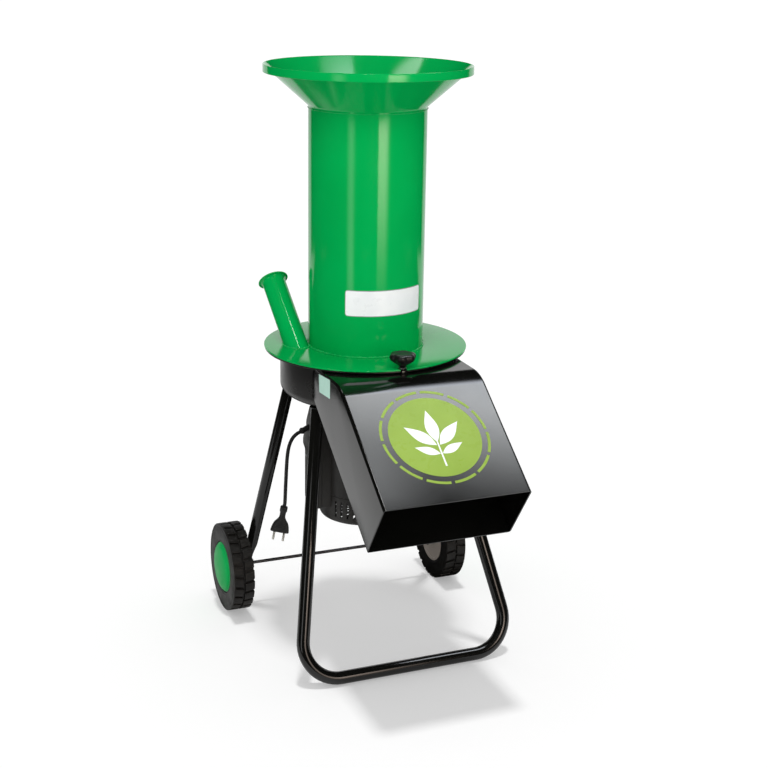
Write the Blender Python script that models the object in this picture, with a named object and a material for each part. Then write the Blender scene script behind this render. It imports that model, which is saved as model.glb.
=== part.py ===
"""Electric garden shredder, upright, on two wheels and a bent tube leg.

Metres, +Z up. The origin is on the floor at the middle of the footprint. The
discharge chute faces -Y, and +X is to the right seen from the front. Every
shape is drawn about the rotor's upright axis, which add_piece and boolean then
set back by ROTOR_AXIS.
"""

import math

import bmesh
import bpy
from mathutils import Matrix, Vector

# The rotor's axis from the middle of the footprint
ROTOR_AXIS = Vector((0.0, 0.106, 0.0))

# Clearances
GAP = 0.0003  # between pieces that touch
RUNNING = 0.0003  # radial, between a turning piece and its bore
HAMMER_PLAY = 0.0006  # radial, a swinging hammer on its pin
KNIFE_GAP = 0.0024  # knives below the shear bar
FLANGE_INSET = 0.001  # radial, the chamber's flange inside the base plate's edge
CHUTE_DROP = 0.0022  # top of the chute below the chamber's flange

# Base plate of the hopper
DISC_TOP = 0.567
DISC_RADIUS = 0.190
DISC_THICKNESS = 0.0025
FEED_HOLE_RADIUS = 0.085
NOTCH_WIDTH = 0.013
NOTCH_INSET = 0.0075  # the clamp stud's axis inside the plate's edge

# Feed column and funnel
COLUMN_RADIUS = 0.1075
COLUMN_HEIGHT = 0.437
HOPPER_WALL = 0.002
FUNNEL_RADIUS = 0.1885
FUNNEL_HEIGHT = 0.077
FUNNEL_NECK = 0.004
FUNNEL_BAND = 0.0145

# Branch tube
BRANCH_STANDOFF = 0.0019  # between the tube's foot and the feed column
BRANCH_BEARING = math.radians(167.71)  # of the foot, about the column
BRANCH_LEAN = math.radians(45.5)
BRANCH_TURN = math.radians(-5.9)
BRANCH_RADIUS = 0.0221
BRANCH_LENGTH = 0.1455
BRANCH_LIP_RADIUS = 0.0288
BRANCH_LIP_THICKNESS = 0.003

# Cutting chamber
CHAMBER_RADIUS = 0.160
CHAMBER_DEPTH = 0.0877
CHAMBER_CORNER = 0.0165
SHEET = 0.002
FLANGE_THICKNESS = 0.003
SHAFT_HOLE_RADIUS = 0.030

# Discharge chute, in the Y-Z plane
CHUTE_WIDTH = 0.270
CHUTE_CORNER_REACH = 0.2237  # where the flat top meets the slope, before its bend
CHUTE_BEND_RADIUS = 0.080
CHUTE_SLOPE = math.radians(35.1)
CHUTE_SLOPE_LENGTH = 0.2595
CHUTE_FLOOR_SLOPE = math.radians(34.5)
MOUTH_DEPTH = 0.1269
CHUTE_EDGE_RADIUS = 0.005

# Legs, axle and wheels
FRONT_TUBE_RADIUS = 0.012
FRONT_FOOT_X = 0.2127
FRONT_FOOT_Y = -0.2444
FRONT_TOP_X = 0.1205
FRONT_TOP_Y = -0.0726
FRONT_BEND_RADIUS = 0.0655
TUBE_WALL = 0.0015
REAR_TUBE_RADIUS = 0.011
REAR_TOP_X = 0.130
REAR_TOP_Y = 0.064
REAR_FOOT_X = 0.196
FLAT_END_WIDTH = 0.030
FLAT_END_THICKNESS = 0.005
FLAT_END_LENGTH = 0.034
FLAT_TAPER_LENGTH = 0.035
AXLE_RADIUS = 0.0032
AXLE_Y = 0.1363
AXLE_END = 0.0035  # the axle past the hub
WHEEL_RADIUS = 0.0875
WHEEL_WIDTH = 0.042
WHEEL_INSIDE_X = 0.206
TYRE_SHOULDER = 0.0025
GROOVE_WIDTH = 0.006
GROOVE_DEPTH = 0.003
TYRE_BORE_RADIUS = 0.0518
RIM_WALL = 0.005
RIM_WEB = 0.004
RIM_RIBS = 6
RIM_RIB_THICKNESS = 0.0035
HUB_RADIUS = 0.013
HUB_INSIDE = 0.003  # the hub past the tyre's inner face
RIM_INSET = 0.003  # the rim's wall inside each of the tyre's faces
CAP_RADIUS = 0.0506
CAP_EDGE = 0.0015
CAP_BULGE = 0.0115
CAP_WALL = 0.002
CAP_SPIGOT = 0.003

# Rotor
SHEAR_BAR = (0.058, 0.022, 0.005)
SHEAR_BAR_START = 0.062
KNIFE = (0.082, 0.036, 0.006)
KNIFE_START = 0.050
KNIFE_BEVEL = 0.010
KNIFE_ANGLE = math.radians(45)
SCREW_RADIUS = 0.004
SCREW_HEAD_RADIUS = 0.0075
SCREW_HEAD_DEPTH = 0.0035
SCREW_RADII = (0.068, 0.112)
SCREW_OFFSET = 0.004
ROTOR_RADIUS = 0.140
ROTOR_PLATE = 0.006
ROTOR_SPACE = 0.0385  # between the rotor plate and the hammer flange
HAMMER_FLANGE_RADIUS = 0.100
HAMMER_FLANGE = 0.005
ROTOR_HUB_RADIUS = 0.025
PADDLE_START = 0.066
PADDLE_LENGTH = 0.068
PADDLE_HEIGHT = 0.0365
PADDLE_THICKNESS = 0.005
HAMMER_COUNT = 4
HAMMER_PIN_CIRCLE = 0.088
HAMMER_PIN_RADIUS = 0.006
HAMMER_PIN_HEAD = 0.0025
HAMMER_REACH = 0.050
HAMMER_WIDTH = 0.026
HAMMER_THICKNESS = 0.008
HAMMER_DROP = 0.016  # top of a hammer below the rotor plate
HAMMER_BOSS_RADIUS = 0.0095
SHAFT_RADIUS = 0.012
NUT_RADIUS = 0.0185
NUT_HEIGHT = 0.0092

# Motor
MOTOR_FRAME_RADIUS = 0.078
MOTOR_FRAME_WALL = 0.004
MOTOR_TOP_PLATE = 0.008
MOTOR_FLANGE_REACH = 0.014  # outside the frame
MOTOR_FRAME_HEIGHT = 0.176
LOWER_SHIELD = 0.008
SHIELD_FLOOR = 0.004  # under the lower bearing
BEARING_RADIUS = 0.026
BEARING_HEIGHT = 0.0145
SEAT_WALL = 0.006
STATOR_HEIGHT = 0.090
STATOR_DROP = 0.051  # top of the stator's core below the motor's top
STATOR_BORE = 0.040
WINDING_HEIGHT = 0.020
WINDING_INSET = 0.006
AIR_GAP = 0.0005
FAN_RADIUS = 0.070
FAN_HEIGHT = 0.025
FAN_BLADES = 7
FAN_DROP = 0.005  # top of the fan below the lower shield
COVER_AIR = 0.0045  # between the frame and the cover
COVER_BOTTOM = 0.228
COVER_TOP = 0.432
COVER_WALL = 0.0025
COVER_CORNER = 0.007
COVER_COLLAR = 0.006
SLOT_WIDTH = 0.004
SLOT_LOW = 0.2395
SLOT_HEIGHT = 0.033
SLOT_PITCH = math.radians(8.6)
SLOT_GAP_HALF = math.radians(28)  # no slots this far from the box on either side

# Switch box on the motor's left side
BOX_Y_LOW = -0.032
BOX_Y_HIGH = 0.035
BOX_BOTTOM = 0.2565
BOX_DEPTH = 0.012  # the joint face outside the motor's cover
BOX_WALL = 0.0025
BOX_FLOOR = 0.0035
LID_DEPTH = 0.011  # the lid's flat face outside the joint face
LID_BULGE = 0.004
LID_SHOULDER_DROP = 0.0025
BULGE_LOW = 0.358
BULGE_HIGH = 0.382
BOX_SHOULDER = 0.413
BOX_TOP = 0.4415
LID_TOP = 0.0015  # the lid's top edge outside the joint face
CAPACITOR = (0.012, 0.026, 0.050)
CAPACITOR_LOW = 0.344
ROCKER_Y = 0.0015
ROCKER_Z = 0.308
ROCKER_SIZE = (0.019, 0.026)
ROCKER_DEPTH = 0.0085
ROCKER_PROUD = 0.003
ROCKER_TRAVEL = math.radians(14)
ROCKER_CLEARANCE = 0.0006

# Cord, gland and plug
CORD_RADIUS = 0.0035
GLAND_RADIUS = 0.0052
GLAND_FLANGE_RADIUS = 0.0066
GLAND_FLANGE = 0.003
GLAND_LENGTH = 0.022
GLAND_TILT = math.radians(25)
CORD_EXIT = Vector((-0.1222, 0.022, 0.3952))
PLUG_TOP = Vector((-0.1545, 0.022, 0.2478))
PLUG_FACING = math.radians(-21.9)  # turn of the plug's width about Z
PLUG_TILT = math.radians(10.4)
PLUG_PIN_SPACING = 0.019
PLUG_PIN_RADIUS = 0.0022
PLUG_PIN_LENGTH = 0.019
# The cord's own points between its two straight ends
CORD_ROUTE = (
    (-0.1368, 0.0220, 0.3850),
    (-0.1437, 0.0220, 0.3710),
    (-0.1475, 0.0220, 0.3520),
    (-0.1495, 0.0220, 0.3275),
    (-0.1508, 0.0220, 0.3030),
    (-0.1520, 0.0220, 0.2790),
)
CORD_POINTS = 14

# Clamp
STUD_RADIUS = 0.004
STUD_DEPTH = 0.007  # below the base plate's top
WASHER_RADIUS = 0.008
WASHER_THICKNESS = 0.0016
KNOB_RADIUS = 0.0245
KNOB_HEIGHT = 0.0265
KNOB_NECK_RADIUS = 0.0055
KNOB_LOBES = 6
KNOB_LOBE_DEPTH = 0.10
BRACKET_WIDTH = 0.011
BRACKET_REACH = 0.0115  # forward of the stud
BRACKET_TOP = 0.0015  # below the base plate's top
THREAD_PLAY = 0.0004

# Hinge at the back
HINGE_BARREL_RADIUS = 0.005
HINGE_PIN_RADIUS = 0.0027
HINGE_EDGE_GAP = 0.0015  # barrel outside the plate's edge
HINGE_DROP = 0.0005  # the hinge's axis below the plate's top
HINGE_CENTRE_HALF = 0.0175
HINGE_HALF = 0.034
HINGE_LEAF = 0.0025
HINGE_LEAF_LENGTH = 0.036
HINGE_TAB_CLEAR = 0.008  # the lower tab outside the chamber's wall

# Facets
LARGE_ROUND = 40
ROUND = 32
WHEEL_ROUND = 36
INNER_ROUND = 24
SMALL_ROUND = 14
PIN_ROUND = 10
CORNER_STEPS = 2

# Heights that follow from the sizes above
DISC_UNDER = DISC_TOP - DISC_THICKNESS
COLUMN_TOP = DISC_TOP + GAP + COLUMN_HEIGHT
FLANGE_TOP = DISC_UNDER - GAP
FLANGE_BOTTOM = FLANGE_TOP - FLANGE_THICKNESS
FLANGE_RADIUS = DISC_RADIUS - FLANGE_INSET
FLOOR_UNDER = FLANGE_TOP - CHAMBER_DEPTH
FLOOR_TOP = FLOOR_UNDER + SHEET
BELOW_FLOOR = FLOOR_UNDER - GAP
CHUTE_TOP = FLANGE_BOTTOM - CHUTE_DROP
SHEAR_TOP = DISC_UNDER - GAP
KNIFE_TOP = SHEAR_TOP - SHEAR_BAR[2] - KNIFE_GAP
KNIFE_UNDER = KNIFE_TOP - KNIFE[2]
ROTOR_TOP = KNIFE_UNDER - GAP
ROTOR_UNDER = ROTOR_TOP - ROTOR_PLATE
HAMMER_FLANGE_TOP = ROTOR_UNDER - ROTOR_SPACE
HAMMER_FLANGE_UNDER = HAMMER_FLANGE_TOP - HAMMER_FLANGE
MOTOR_BOTTOM = BELOW_FLOOR - MOTOR_FRAME_HEIGHT
SHIELD_TOP = MOTOR_BOTTOM - GAP
SHIELD_UNDER = SHIELD_TOP - LOWER_SHIELD
FAN_TOP = SHIELD_UNDER - FAN_DROP
WHEEL_MID_X = WHEEL_INSIDE_X + WHEEL_WIDTH / 2
STUD_Y = -(DISC_RADIUS - NOTCH_INSET)
HINGE_Y = DISC_RADIUS + HINGE_EDGE_GAP + HINGE_BARREL_RADIUS
BRANCH_REACH = COLUMN_RADIUS + BRANCH_RADIUS + BRANCH_STANDOFF
BRANCH_X = BRANCH_REACH * math.cos(BRANCH_BEARING)
BRANCH_Y = BRANCH_REACH * math.sin(BRANCH_BEARING)
MOTOR_FLANGE_RADIUS = MOTOR_FRAME_RADIUS + MOTOR_FLANGE_REACH
COVER_RADIUS = MOTOR_FRAME_RADIUS + COVER_AIR + COVER_WALL
BOX_PARTING = COVER_RADIUS + BOX_DEPTH
BOX_BACK = COVER_RADIUS + BOX_FLOOR
LID_FACE = BOX_PARTING + LID_DEPTH
HINGE_Z = DISC_TOP - HINGE_DROP

GREEN = ("green_paint", (0.003, 0.39, 0.075), 0.22, 0.0)
BLACK = ("black_paint", (0.018, 0.018, 0.020), 0.28, 0.0)
PLASTIC = ("black_plastic", (0.022, 0.022, 0.024), 0.45, 0.0)
RUBBER = ("tyre_rubber", (0.020, 0.020, 0.021), 0.70, 0.0)
STEEL = ("steel", (0.55, 0.56, 0.58), 0.32, 1.0)
BLADE = ("hardened_steel", (0.42, 0.43, 0.45), 0.28, 1.0)
ALUMINIUM = ("cast_aluminium", (0.60, 0.61, 0.62), 0.45, 1.0)
COPPER = ("stator_pack", (0.24, 0.13, 0.07), 0.50, 0.6)


def clear_scene():
    for obj in list(bpy.data.objects):
        bpy.data.objects.remove(obj, do_unlink=True)


def material(look):
    name, colour, roughness, metallic = look
    found = bpy.data.materials.get(name)
    if found:
        return found
    made = bpy.data.materials.new(name)
    made.use_nodes = True
    shader = made.node_tree.nodes["Principled BSDF"]
    shader.inputs["Base Color"].default_value = (*colour, 1.0)
    shader.inputs["Roughness"].default_value = roughness
    shader.inputs["Metallic"].default_value = metallic
    return made


def add_piece(name, bm, look, origin=(0.0, 0.0, 0.0)):
    """An object from a mesh drawn about the rotor's axis, with its origin on a joint's axis."""
    bmesh.ops.translate(bm, vec=-Vector(origin), verts=bm.verts)
    mesh = bpy.data.meshes.new(name)
    bm.to_mesh(mesh)
    bm.free()
    mesh.shade_smooth()
    mesh.set_sharp_from_angle(angle=math.radians(35))
    mesh.materials.append(material(look))
    obj = bpy.data.objects.new(name, mesh)
    obj.location = Vector(origin) + ROTOR_AXIS
    bpy.context.scene.collection.objects.link(obj)
    return obj


def boolean(target, bm, operation):
    """Cuts from, or joins to, a piece with a hidden tool mesh drawn about the rotor's axis."""
    mesh = bpy.data.meshes.new(target.name + "_tool")
    bm.to_mesh(mesh)
    bm.free()
    tool = bpy.data.objects.new(target.name + "_tool", mesh)
    tool.hide_render = True
    tool.display_type = "WIRE"
    tool.location = ROTOR_AXIS
    bpy.context.scene.collection.objects.link(tool)
    modifier = target.modifiers.new(operation.lower(), "BOOLEAN")
    modifier.operation = operation
    modifier.object = tool


def cut(target, bm):
    boolean(target, bm, "DIFFERENCE")


def join(target, bm):
    boolean(target, bm, "UNION")


def soften(target, width, segments=2):
    """A rounded edge on a plain block."""
    bevel = target.modifiers.new("bevel", "BEVEL")
    bevel.width = width
    bevel.segments = segments
    bevel.limit_method = "ANGLE"
    bevel.angle_limit = math.radians(40)


def revolve(profile, segments=ROUND):
    """A closed (radius, height) outline turned about Z."""
    bm = bmesh.new()
    turns = [2 * math.pi * k / segments for k in range(segments)]
    rings = []
    for radius, height in profile:
        if radius < 1e-6:
            rings.append([bm.verts.new((0.0, 0.0, height))])
        else:
            places = [(radius * math.cos(t), radius * math.sin(t), height) for t in turns]
            rings.append([bm.verts.new(place) for place in places])
    for low, high in zip(rings, rings[1:] + rings[:1]):
        bridge(bm, low, high)
    bmesh.ops.recalc_face_normals(bm, faces=bm.faces)
    return bm


def sleeve(inner, outer, low, high):
    """The section of a plain ring or tube."""
    return ((inner, low), (outer, low), (outer, high), (inner, high))


def bridge(bm, low, high):
    """Faces between two closed rings of equal count, or a ring and a single point."""
    count = max(len(low), len(high))
    if count == 1:
        return
    for k in range(count):
        after = (k + 1) % count
        if len(low) == 1:
            bm.faces.new((low[0], high[after], high[k]))
        elif len(high) == 1:
            bm.faces.new((low[k], low[after], high[0]))
        else:
            bm.faces.new((low[k], low[after], high[after], high[k]))


def prism(outline, low, high, along="X"):
    """A flat outline pushed along an axis; its points are the other two axes in order."""
    place = {
        "X": lambda a, b, c: (c, a, b),
        "Y": lambda a, b, c: (a, c, b),
        "Z": lambda a, b, c: (a, b, c),
    }[along]
    bm = bmesh.new()
    near = [bm.verts.new(place(a, b, low)) for a, b in outline]
    far = [bm.verts.new(place(a, b, high)) for a, b in outline]
    bm.faces.new(near)
    bm.faces.new(list(reversed(far)))
    bridge(bm, near, far)
    bmesh.ops.recalc_face_normals(bm, faces=bm.faces)
    return bm


def block(x, y, z):
    """A box from its three (low, high) spans."""
    return prism(((y[0], z[0]), (y[1], z[0]), (y[1], z[1]), (y[0], z[1])), x[0], x[1])


def lie_along(bm, start, direction):
    """Turns a mesh made about Z, from z = 0, onto a line in space."""
    turn = Vector(direction).to_track_quat("Z", "Y").to_matrix().to_4x4()
    bm.transform(Matrix.Translation(Vector(start)) @ turn)
    return bm


def turn_z(bm, angle):
    bm.transform(Matrix.Rotation(angle, 4, "Z"))
    return bm


def rod(start, end, radius, segments=PIN_ROUND):
    span = Vector(end) - Vector(start)
    profile = ((0.0, 0.0), (radius, 0.0), (radius, span.length), (0.0, span.length))
    return lie_along(revolve(profile, segments), start, span)


def merged(meshes):
    """Several closed meshes as the islands of one tool mesh."""
    whole = bmesh.new()
    for bm in meshes:
        copy = bpy.data.meshes.new("island")
        bm.to_mesh(copy)
        bm.free()
        whole.from_mesh(copy)
        bpy.data.meshes.remove(copy)
    return whole


def arc(centre, radius, start, end, steps=CORNER_STEPS):
    """Points on an arc, both ends included; angles in radians."""
    return [
        (
            centre[0] + radius * math.cos(start + (end - start) * k / steps),
            centre[1] + radius * math.sin(start + (end - start) * k / steps),
        )
        for k in range(steps + 1)
    ]


def smooth_path(points, count):
    """Evenly spaced points on a smooth curve through the given ones."""
    ghost = [points[0] * 2 - points[1], *points, points[-1] * 2 - points[-2]]
    dense = []
    for a, b, c, d in zip(ghost, ghost[1:], ghost[2:], ghost[3:]):
        for step in range(12):
            t = step / 12
            bend = (2 * a - 5 * b + 4 * c - d) * t**2
            twist = (3 * b - a - 3 * c + d) * t**3
            dense.append(0.5 * (2 * b + (c - a) * t + bend + twist))
    dense.append(points[-1])
    lengths = [0.0]
    for a, b in zip(dense, dense[1:]):
        lengths.append(lengths[-1] + (b - a).length)
    path = []
    for k in range(count):
        want = lengths[-1] * k / (count - 1)
        at = next(i for i in range(1, len(lengths)) if lengths[i] >= want - 1e-9)
        share = (want - lengths[at - 1]) / (lengths[at] - lengths[at - 1])
        path.append(dense[at - 1].lerp(dense[at], share))
    return path


def tube_wall(bm_rings_outer, bm_rings_inner, bm):
    """Joins outer and inner rings into an open-ended tube."""
    for rings in (bm_rings_outer, bm_rings_inner):
        for low, high in zip(rings, rings[1:]):
            bridge(bm, low, high)
    bridge(bm, bm_rings_outer[0], bm_rings_inner[0])
    bridge(bm, bm_rings_outer[-1], bm_rings_inner[-1])
    bmesh.ops.recalc_face_normals(bm, faces=bm.faces)


def make_funnel():
    low = COLUMN_TOP + GAP
    top = low + FUNNEL_HEIGHT
    inside = COLUMN_RADIUS - HOPPER_WALL
    band_inside = FUNNEL_RADIUS - HOPPER_WALL
    edge = HOPPER_WALL * 0.4
    profile = [
        (inside, low),
        (COLUMN_RADIUS, low),
        (COLUMN_RADIUS, low + FUNNEL_NECK),
        (band_inside, top - 2 * HOPPER_WALL),
        (band_inside, top - FUNNEL_BAND),
        (FUNNEL_RADIUS, top - FUNNEL_BAND),
        (FUNNEL_RADIUS, top - edge),
        (FUNNEL_RADIUS - edge, top),
        (band_inside - edge, top - edge),
        (inside, low + FUNNEL_NECK + edge),
    ]
    add_piece("funnel", revolve(profile, LARGE_ROUND), GREEN, (0.0, HINGE_Y, HINGE_Z))


def make_column():
    inside = COLUMN_RADIUS - HOPPER_WALL
    low = DISC_TOP + GAP
    wall = sleeve(inside, COLUMN_RADIUS, low, COLUMN_TOP)
    add_piece("feed_column", revolve(wall), GREEN, (0.0, HINGE_Y, HINGE_Z))


def branch_direction():
    lean = math.sin(BRANCH_LEAN)
    return Vector((lean * math.sin(BRANCH_TURN), lean * math.cos(BRANCH_TURN), math.cos(BRANCH_LEAN)))


def slot_outline(width, reach):
    """A slot along -Y with a round end about the stud, in the X-Y plane."""
    half = width / 2
    out = STUD_Y - reach
    return [(half, out), *arc((0.0, STUD_Y), half, 0.0, math.pi, 6), (-half, out)]


def make_disc():
    edge = DISC_THICKNESS * 0.4
    profile = [
        (FEED_HOLE_RADIUS, DISC_UNDER),
        (FEED_HOLE_RADIUS, DISC_TOP),
        (DISC_RADIUS - edge, DISC_TOP),
        (DISC_RADIUS, DISC_TOP - edge),
        (DISC_RADIUS, DISC_UNDER),
    ]
    disc = add_piece("hopper_disc", revolve(profile, LARGE_ROUND), GREEN, (0.0, HINGE_Y, HINGE_Z))
    cut(disc, prism(slot_outline(NOTCH_WIDTH, 0.03), DISC_UNDER - SHEET, DISC_TOP + SHEET, "Z"))
    axis = branch_direction()
    foot = Vector((BRANCH_X, BRANCH_Y, DISC_TOP))
    reach = axis * (BRANCH_RADIUS * 2)
    cut(disc, rod(foot - reach, foot + reach, BRANCH_RADIUS - HOPPER_WALL, 24))


def make_branch_tube():
    """Rings about the tube's axis; the lowest pair follows the base plate's flat top."""
    axis = branch_direction()
    across = axis.cross(Vector((0.0, 0.0, 1.0))).normalized()
    up = axis.cross(across)
    foot = Vector((BRANCH_X, BRANCH_Y, DISC_TOP + GAP))
    bm = bmesh.new()
    sides = 24

    def ring(radius, along):
        made = []
        for k in range(sides):
            turn = 2 * math.pi * k / sides
            spoke = radius * (math.cos(turn) * across + math.sin(turn) * up)
            reach = -spoke.z / axis.z if along is None else along
            made.append(bm.verts.new(foot + spoke + axis * reach))
        return made

    bore = BRANCH_RADIUS - HOPPER_WALL
    lip = BRANCH_LENGTH - BRANCH_LIP_THICKNESS
    outer = [
        ring(BRANCH_RADIUS, None),
        ring(BRANCH_RADIUS, lip - 0.006),
        ring(BRANCH_RADIUS + 0.002, lip - 0.001),
        ring(BRANCH_LIP_RADIUS, lip),
        ring(BRANCH_LIP_RADIUS, BRANCH_LENGTH - 0.0008),
        ring(BRANCH_LIP_RADIUS - 0.001, BRANCH_LENGTH),
    ]
    inner = [ring(bore, None), ring(bore, BRANCH_LENGTH - 0.004), ring(bore + 0.003, BRANCH_LENGTH)]
    tube_wall(outer, inner, bm)
    add_piece("branch_tube", bm, GREEN, (0.0, HINGE_Y, HINGE_Z))


def make_shear_bar():
    length, width, depth = SHEAR_BAR
    bar = block(
        (SHEAR_BAR_START, SHEAR_BAR_START + length), (-width / 2, width / 2), (SHEAR_TOP - depth, SHEAR_TOP)
    )
    piece = add_piece("shear_bar", bar, BLADE, (0.0, HINGE_Y, HINGE_Z))
    soften(piece, 0.0008, 1)


def pan_outline(grow, thickness):
    """The chamber's half section: flange, wall, round corner and floor."""
    outside = CHAMBER_RADIUS + grow
    inside = outside - thickness
    under = FLOOR_UNDER - grow
    corner = CHAMBER_CORNER + grow
    outer = arc((outside - corner, under + corner), corner, 0.0, -math.pi / 2)
    inner = arc((outside - corner, under + corner), corner - thickness, -math.pi / 2, 0.0)
    return outside, inside, under, outer, inner


def make_chamber_pan():
    outside, inside, under, outer, inner = pan_outline(0.0, SHEET)
    profile = [
        (inside, FLANGE_TOP),
        (FLANGE_RADIUS, FLANGE_TOP),
        (FLANGE_RADIUS, FLANGE_BOTTOM),
        (outside, FLANGE_BOTTOM),
        *outer,
        (SHAFT_HOLE_RADIUS, under),
        (SHAFT_HOLE_RADIUS, under + SHEET),
        *inner,
    ]
    pan = add_piece("chamber_pan", revolve(profile, LARGE_ROUND), BLACK)
    half = CHUTE_WIDTH / 2 - SHEET - GAP
    cut(pan, prism(chute_window(), -half, half))
    notch = slot_outline(BRACKET_WIDTH + 2 * GAP, 0.03)
    cut(pan, prism(notch, FLANGE_BOTTOM - SHEET / 2, FLANGE_TOP + SHEET, "Z"))


def chute_corner():
    """Where the flat top and the slope would meet without their bend."""
    return -CHUTE_CORNER_REACH, CHUTE_TOP


def chute_mouth():
    """The mouth's top and bottom edges, as (y, z)."""
    y, z = chute_corner()
    top = (y - CHUTE_SLOPE_LENGTH * math.cos(CHUTE_SLOPE), z - CHUTE_SLOPE_LENGTH * math.sin(CHUTE_SLOPE))
    bottom = (top[0] + MOUTH_DEPTH * math.sin(CHUTE_SLOPE), top[1] - MOUTH_DEPTH * math.cos(CHUTE_SLOPE))
    return top, bottom


def chute_floor_at(y, inset=0.0):
    """Height of the chute's floor at y; inset measures inwards from its outer face."""
    bottom = chute_mouth()[1]
    return bottom[1] + (y - bottom[0]) * math.tan(CHUTE_FLOOR_SLOPE) + inset / math.cos(CHUTE_FLOOR_SLOPE)


def chute_outline(inset, back, past_mouth):
    """The chute's side view, moved inwards by the sheet for its hollow."""
    y, z = chute_corner()
    radius = CHUTE_BEND_RADIUS - inset
    setback = CHUTE_BEND_RADIUS * math.tan(CHUTE_SLOPE / 2)
    centre = (y + setback, z - CHUTE_BEND_RADIUS)
    bend = arc(centre, radius, math.pi / 2, math.pi / 2 + CHUTE_SLOPE, 6)
    mouth_top, mouth_bottom = chute_mouth()
    down = (math.cos(CHUTE_SLOPE), math.sin(CHUTE_SLOPE))
    across = (math.sin(CHUTE_SLOPE), -math.cos(CHUTE_SLOPE))
    top_end = (
        mouth_top[0] + across[0] * inset - down[0] * past_mouth,
        mouth_top[1] + across[1] * inset - down[1] * past_mouth,
    )
    low_y = mouth_bottom[0] - past_mouth * math.cos(CHUTE_FLOOR_SLOPE)
    return [
        (back, z - inset),
        *bend,
        top_end,
        (low_y, chute_floor_at(low_y, inset)),
        (back, chute_floor_at(back, inset)),
    ]


def chute_window():
    """The opening that the chute leaves in the chamber's wall and floor."""
    back = -(CHAMBER_RADIUS**2 - (CHUTE_WIDTH / 2) ** 2) ** 0.5 + 0.012
    front = -(CHAMBER_RADIUS + 0.06)
    top = CHUTE_TOP - SHEET
    return [
        (back, top),
        (front, top),
        (front, chute_floor_at(front, SHEET)),
        (back, chute_floor_at(back, SHEET)),
    ]


def make_chute():
    half = CHUTE_WIDTH / 2
    back = -(CHAMBER_RADIUS**2 - half**2) ** 0.5 + 0.006
    shell = prism(chute_outline(0.0, back, 0.0), -half, half)
    long_edges = [
        edge
        for edge in shell.edges
        if abs(edge.verts[0].co.x - edge.verts[1].co.x) < 1e-6
        and abs(edge.verts[0].co.x) > half - 1e-6
        and max(v.co.y for v in edge.verts) - min(v.co.y for v in edge.verts) > 1e-4
        and not is_mouth_edge(edge)
    ]
    bmesh.ops.bevel(
        shell,
        geom=long_edges,
        offset=CHUTE_EDGE_RADIUS,
        segments=2,
        profile=0.5,
        affect="EDGES",
        clamp_overlap=True,
    )
    chute = add_piece("discharge_chute", shell, BLACK)
    hollow_half = half - SHEET
    cut(chute, prism(chute_outline(SHEET, back + 0.02, 0.02), -hollow_half, hollow_half))
    outside, _, under, outer, _ = pan_outline(GAP, SHEET)
    envelope = [(0.0, CHUTE_TOP + 0.02), (outside, CHUTE_TOP + 0.02), *outer, (0.0, under)]
    cut(chute, revolve(envelope, LARGE_ROUND))


def is_mouth_edge(edge):
    (top_y, _), (bottom_y, _) = chute_mouth()
    ends = sorted(v.co.y for v in edge.verts)
    return abs(ends[0] - top_y) < 1e-5 and abs(ends[1] - bottom_y) < 1e-5


def bent_path(a, corner, b, radius, steps=5):
    """Points from a to b with a round bend of the given radius near the corner."""
    to_a = (a - corner).normalized()
    to_b = (b - corner).normalized()
    half = to_a.angle(to_b) / 2
    reach = radius / math.tan(half)
    middle = corner + (to_a + to_b).normalized() * (radius / math.sin(half))
    start = corner + to_a * reach - middle
    end = corner + to_b * reach - middle
    sweep = math.pi - 2 * half
    points = []
    for k in range(steps + 1):
        share = k / steps
        spoke = (math.sin((1 - share) * sweep) * start + math.sin(share * sweep) * end) / math.sin(sweep)
        points.append(middle + spoke)
    return points


def ring_across(bm, centre, direction, radii, reference, sides, level=None):
    """An oval ring square to a direction, or cut level at a height."""
    side = reference.cross(direction).normalized()
    lift = direction.cross(side).normalized()
    ring = []
    for k in range(sides):
        turn = 2 * math.pi * k / sides
        point = centre + radii[0] * math.cos(turn) * side + radii[1] * math.sin(turn) * lift
        if level is not None:
            point = point + direction * ((level - point.z) / direction.z)
        ring.append(bm.verts.new(point))
    return ring


def make_front_leg():
    foot_z = FRONT_TUBE_RADIUS
    corners = {}
    for side in (-1, 1):
        top = Vector((side * FRONT_TOP_X, FRONT_TOP_Y, BELOW_FLOOR))
        corner = Vector((side * FRONT_FOOT_X, FRONT_FOOT_Y, foot_z))
        corners[side] = (top, corner)
    middle = Vector((0.0, FRONT_FOOT_Y, foot_z))
    left = bent_path(corners[-1][0], corners[-1][1], middle, FRONT_BEND_RADIUS)
    right = bent_path(middle, corners[1][1], corners[1][0], FRONT_BEND_RADIUS)
    path = [corners[-1][0], *left, *right, corners[1][0]]
    bm = bmesh.new()
    normal = (corners[-1][0] - corners[-1][1]).cross(Vector((1.0, 0.0, 0.0))).normalized()
    outer, inner = [], []
    for k, point in enumerate(path):
        before = path[max(k - 1, 0)]
        after = path[min(k + 1, len(path) - 1)]
        direction = ((point - before).normalized() + (after - point).normalized()).normalized()
        if k in (0, len(path) - 1):
            direction = (after - before).normalized()
        level = BELOW_FLOOR if k in (0, len(path) - 1) else None
        for rings, radius in ((outer, FRONT_TUBE_RADIUS), (inner, FRONT_TUBE_RADIUS - TUBE_WALL)):
            rings.append(ring_across(bm, point, direction, (radius, radius), normal, SMALL_ROUND, level))
    tube_wall(outer, inner, bm)
    add_piece("front_leg", bm, BLACK)


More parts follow.
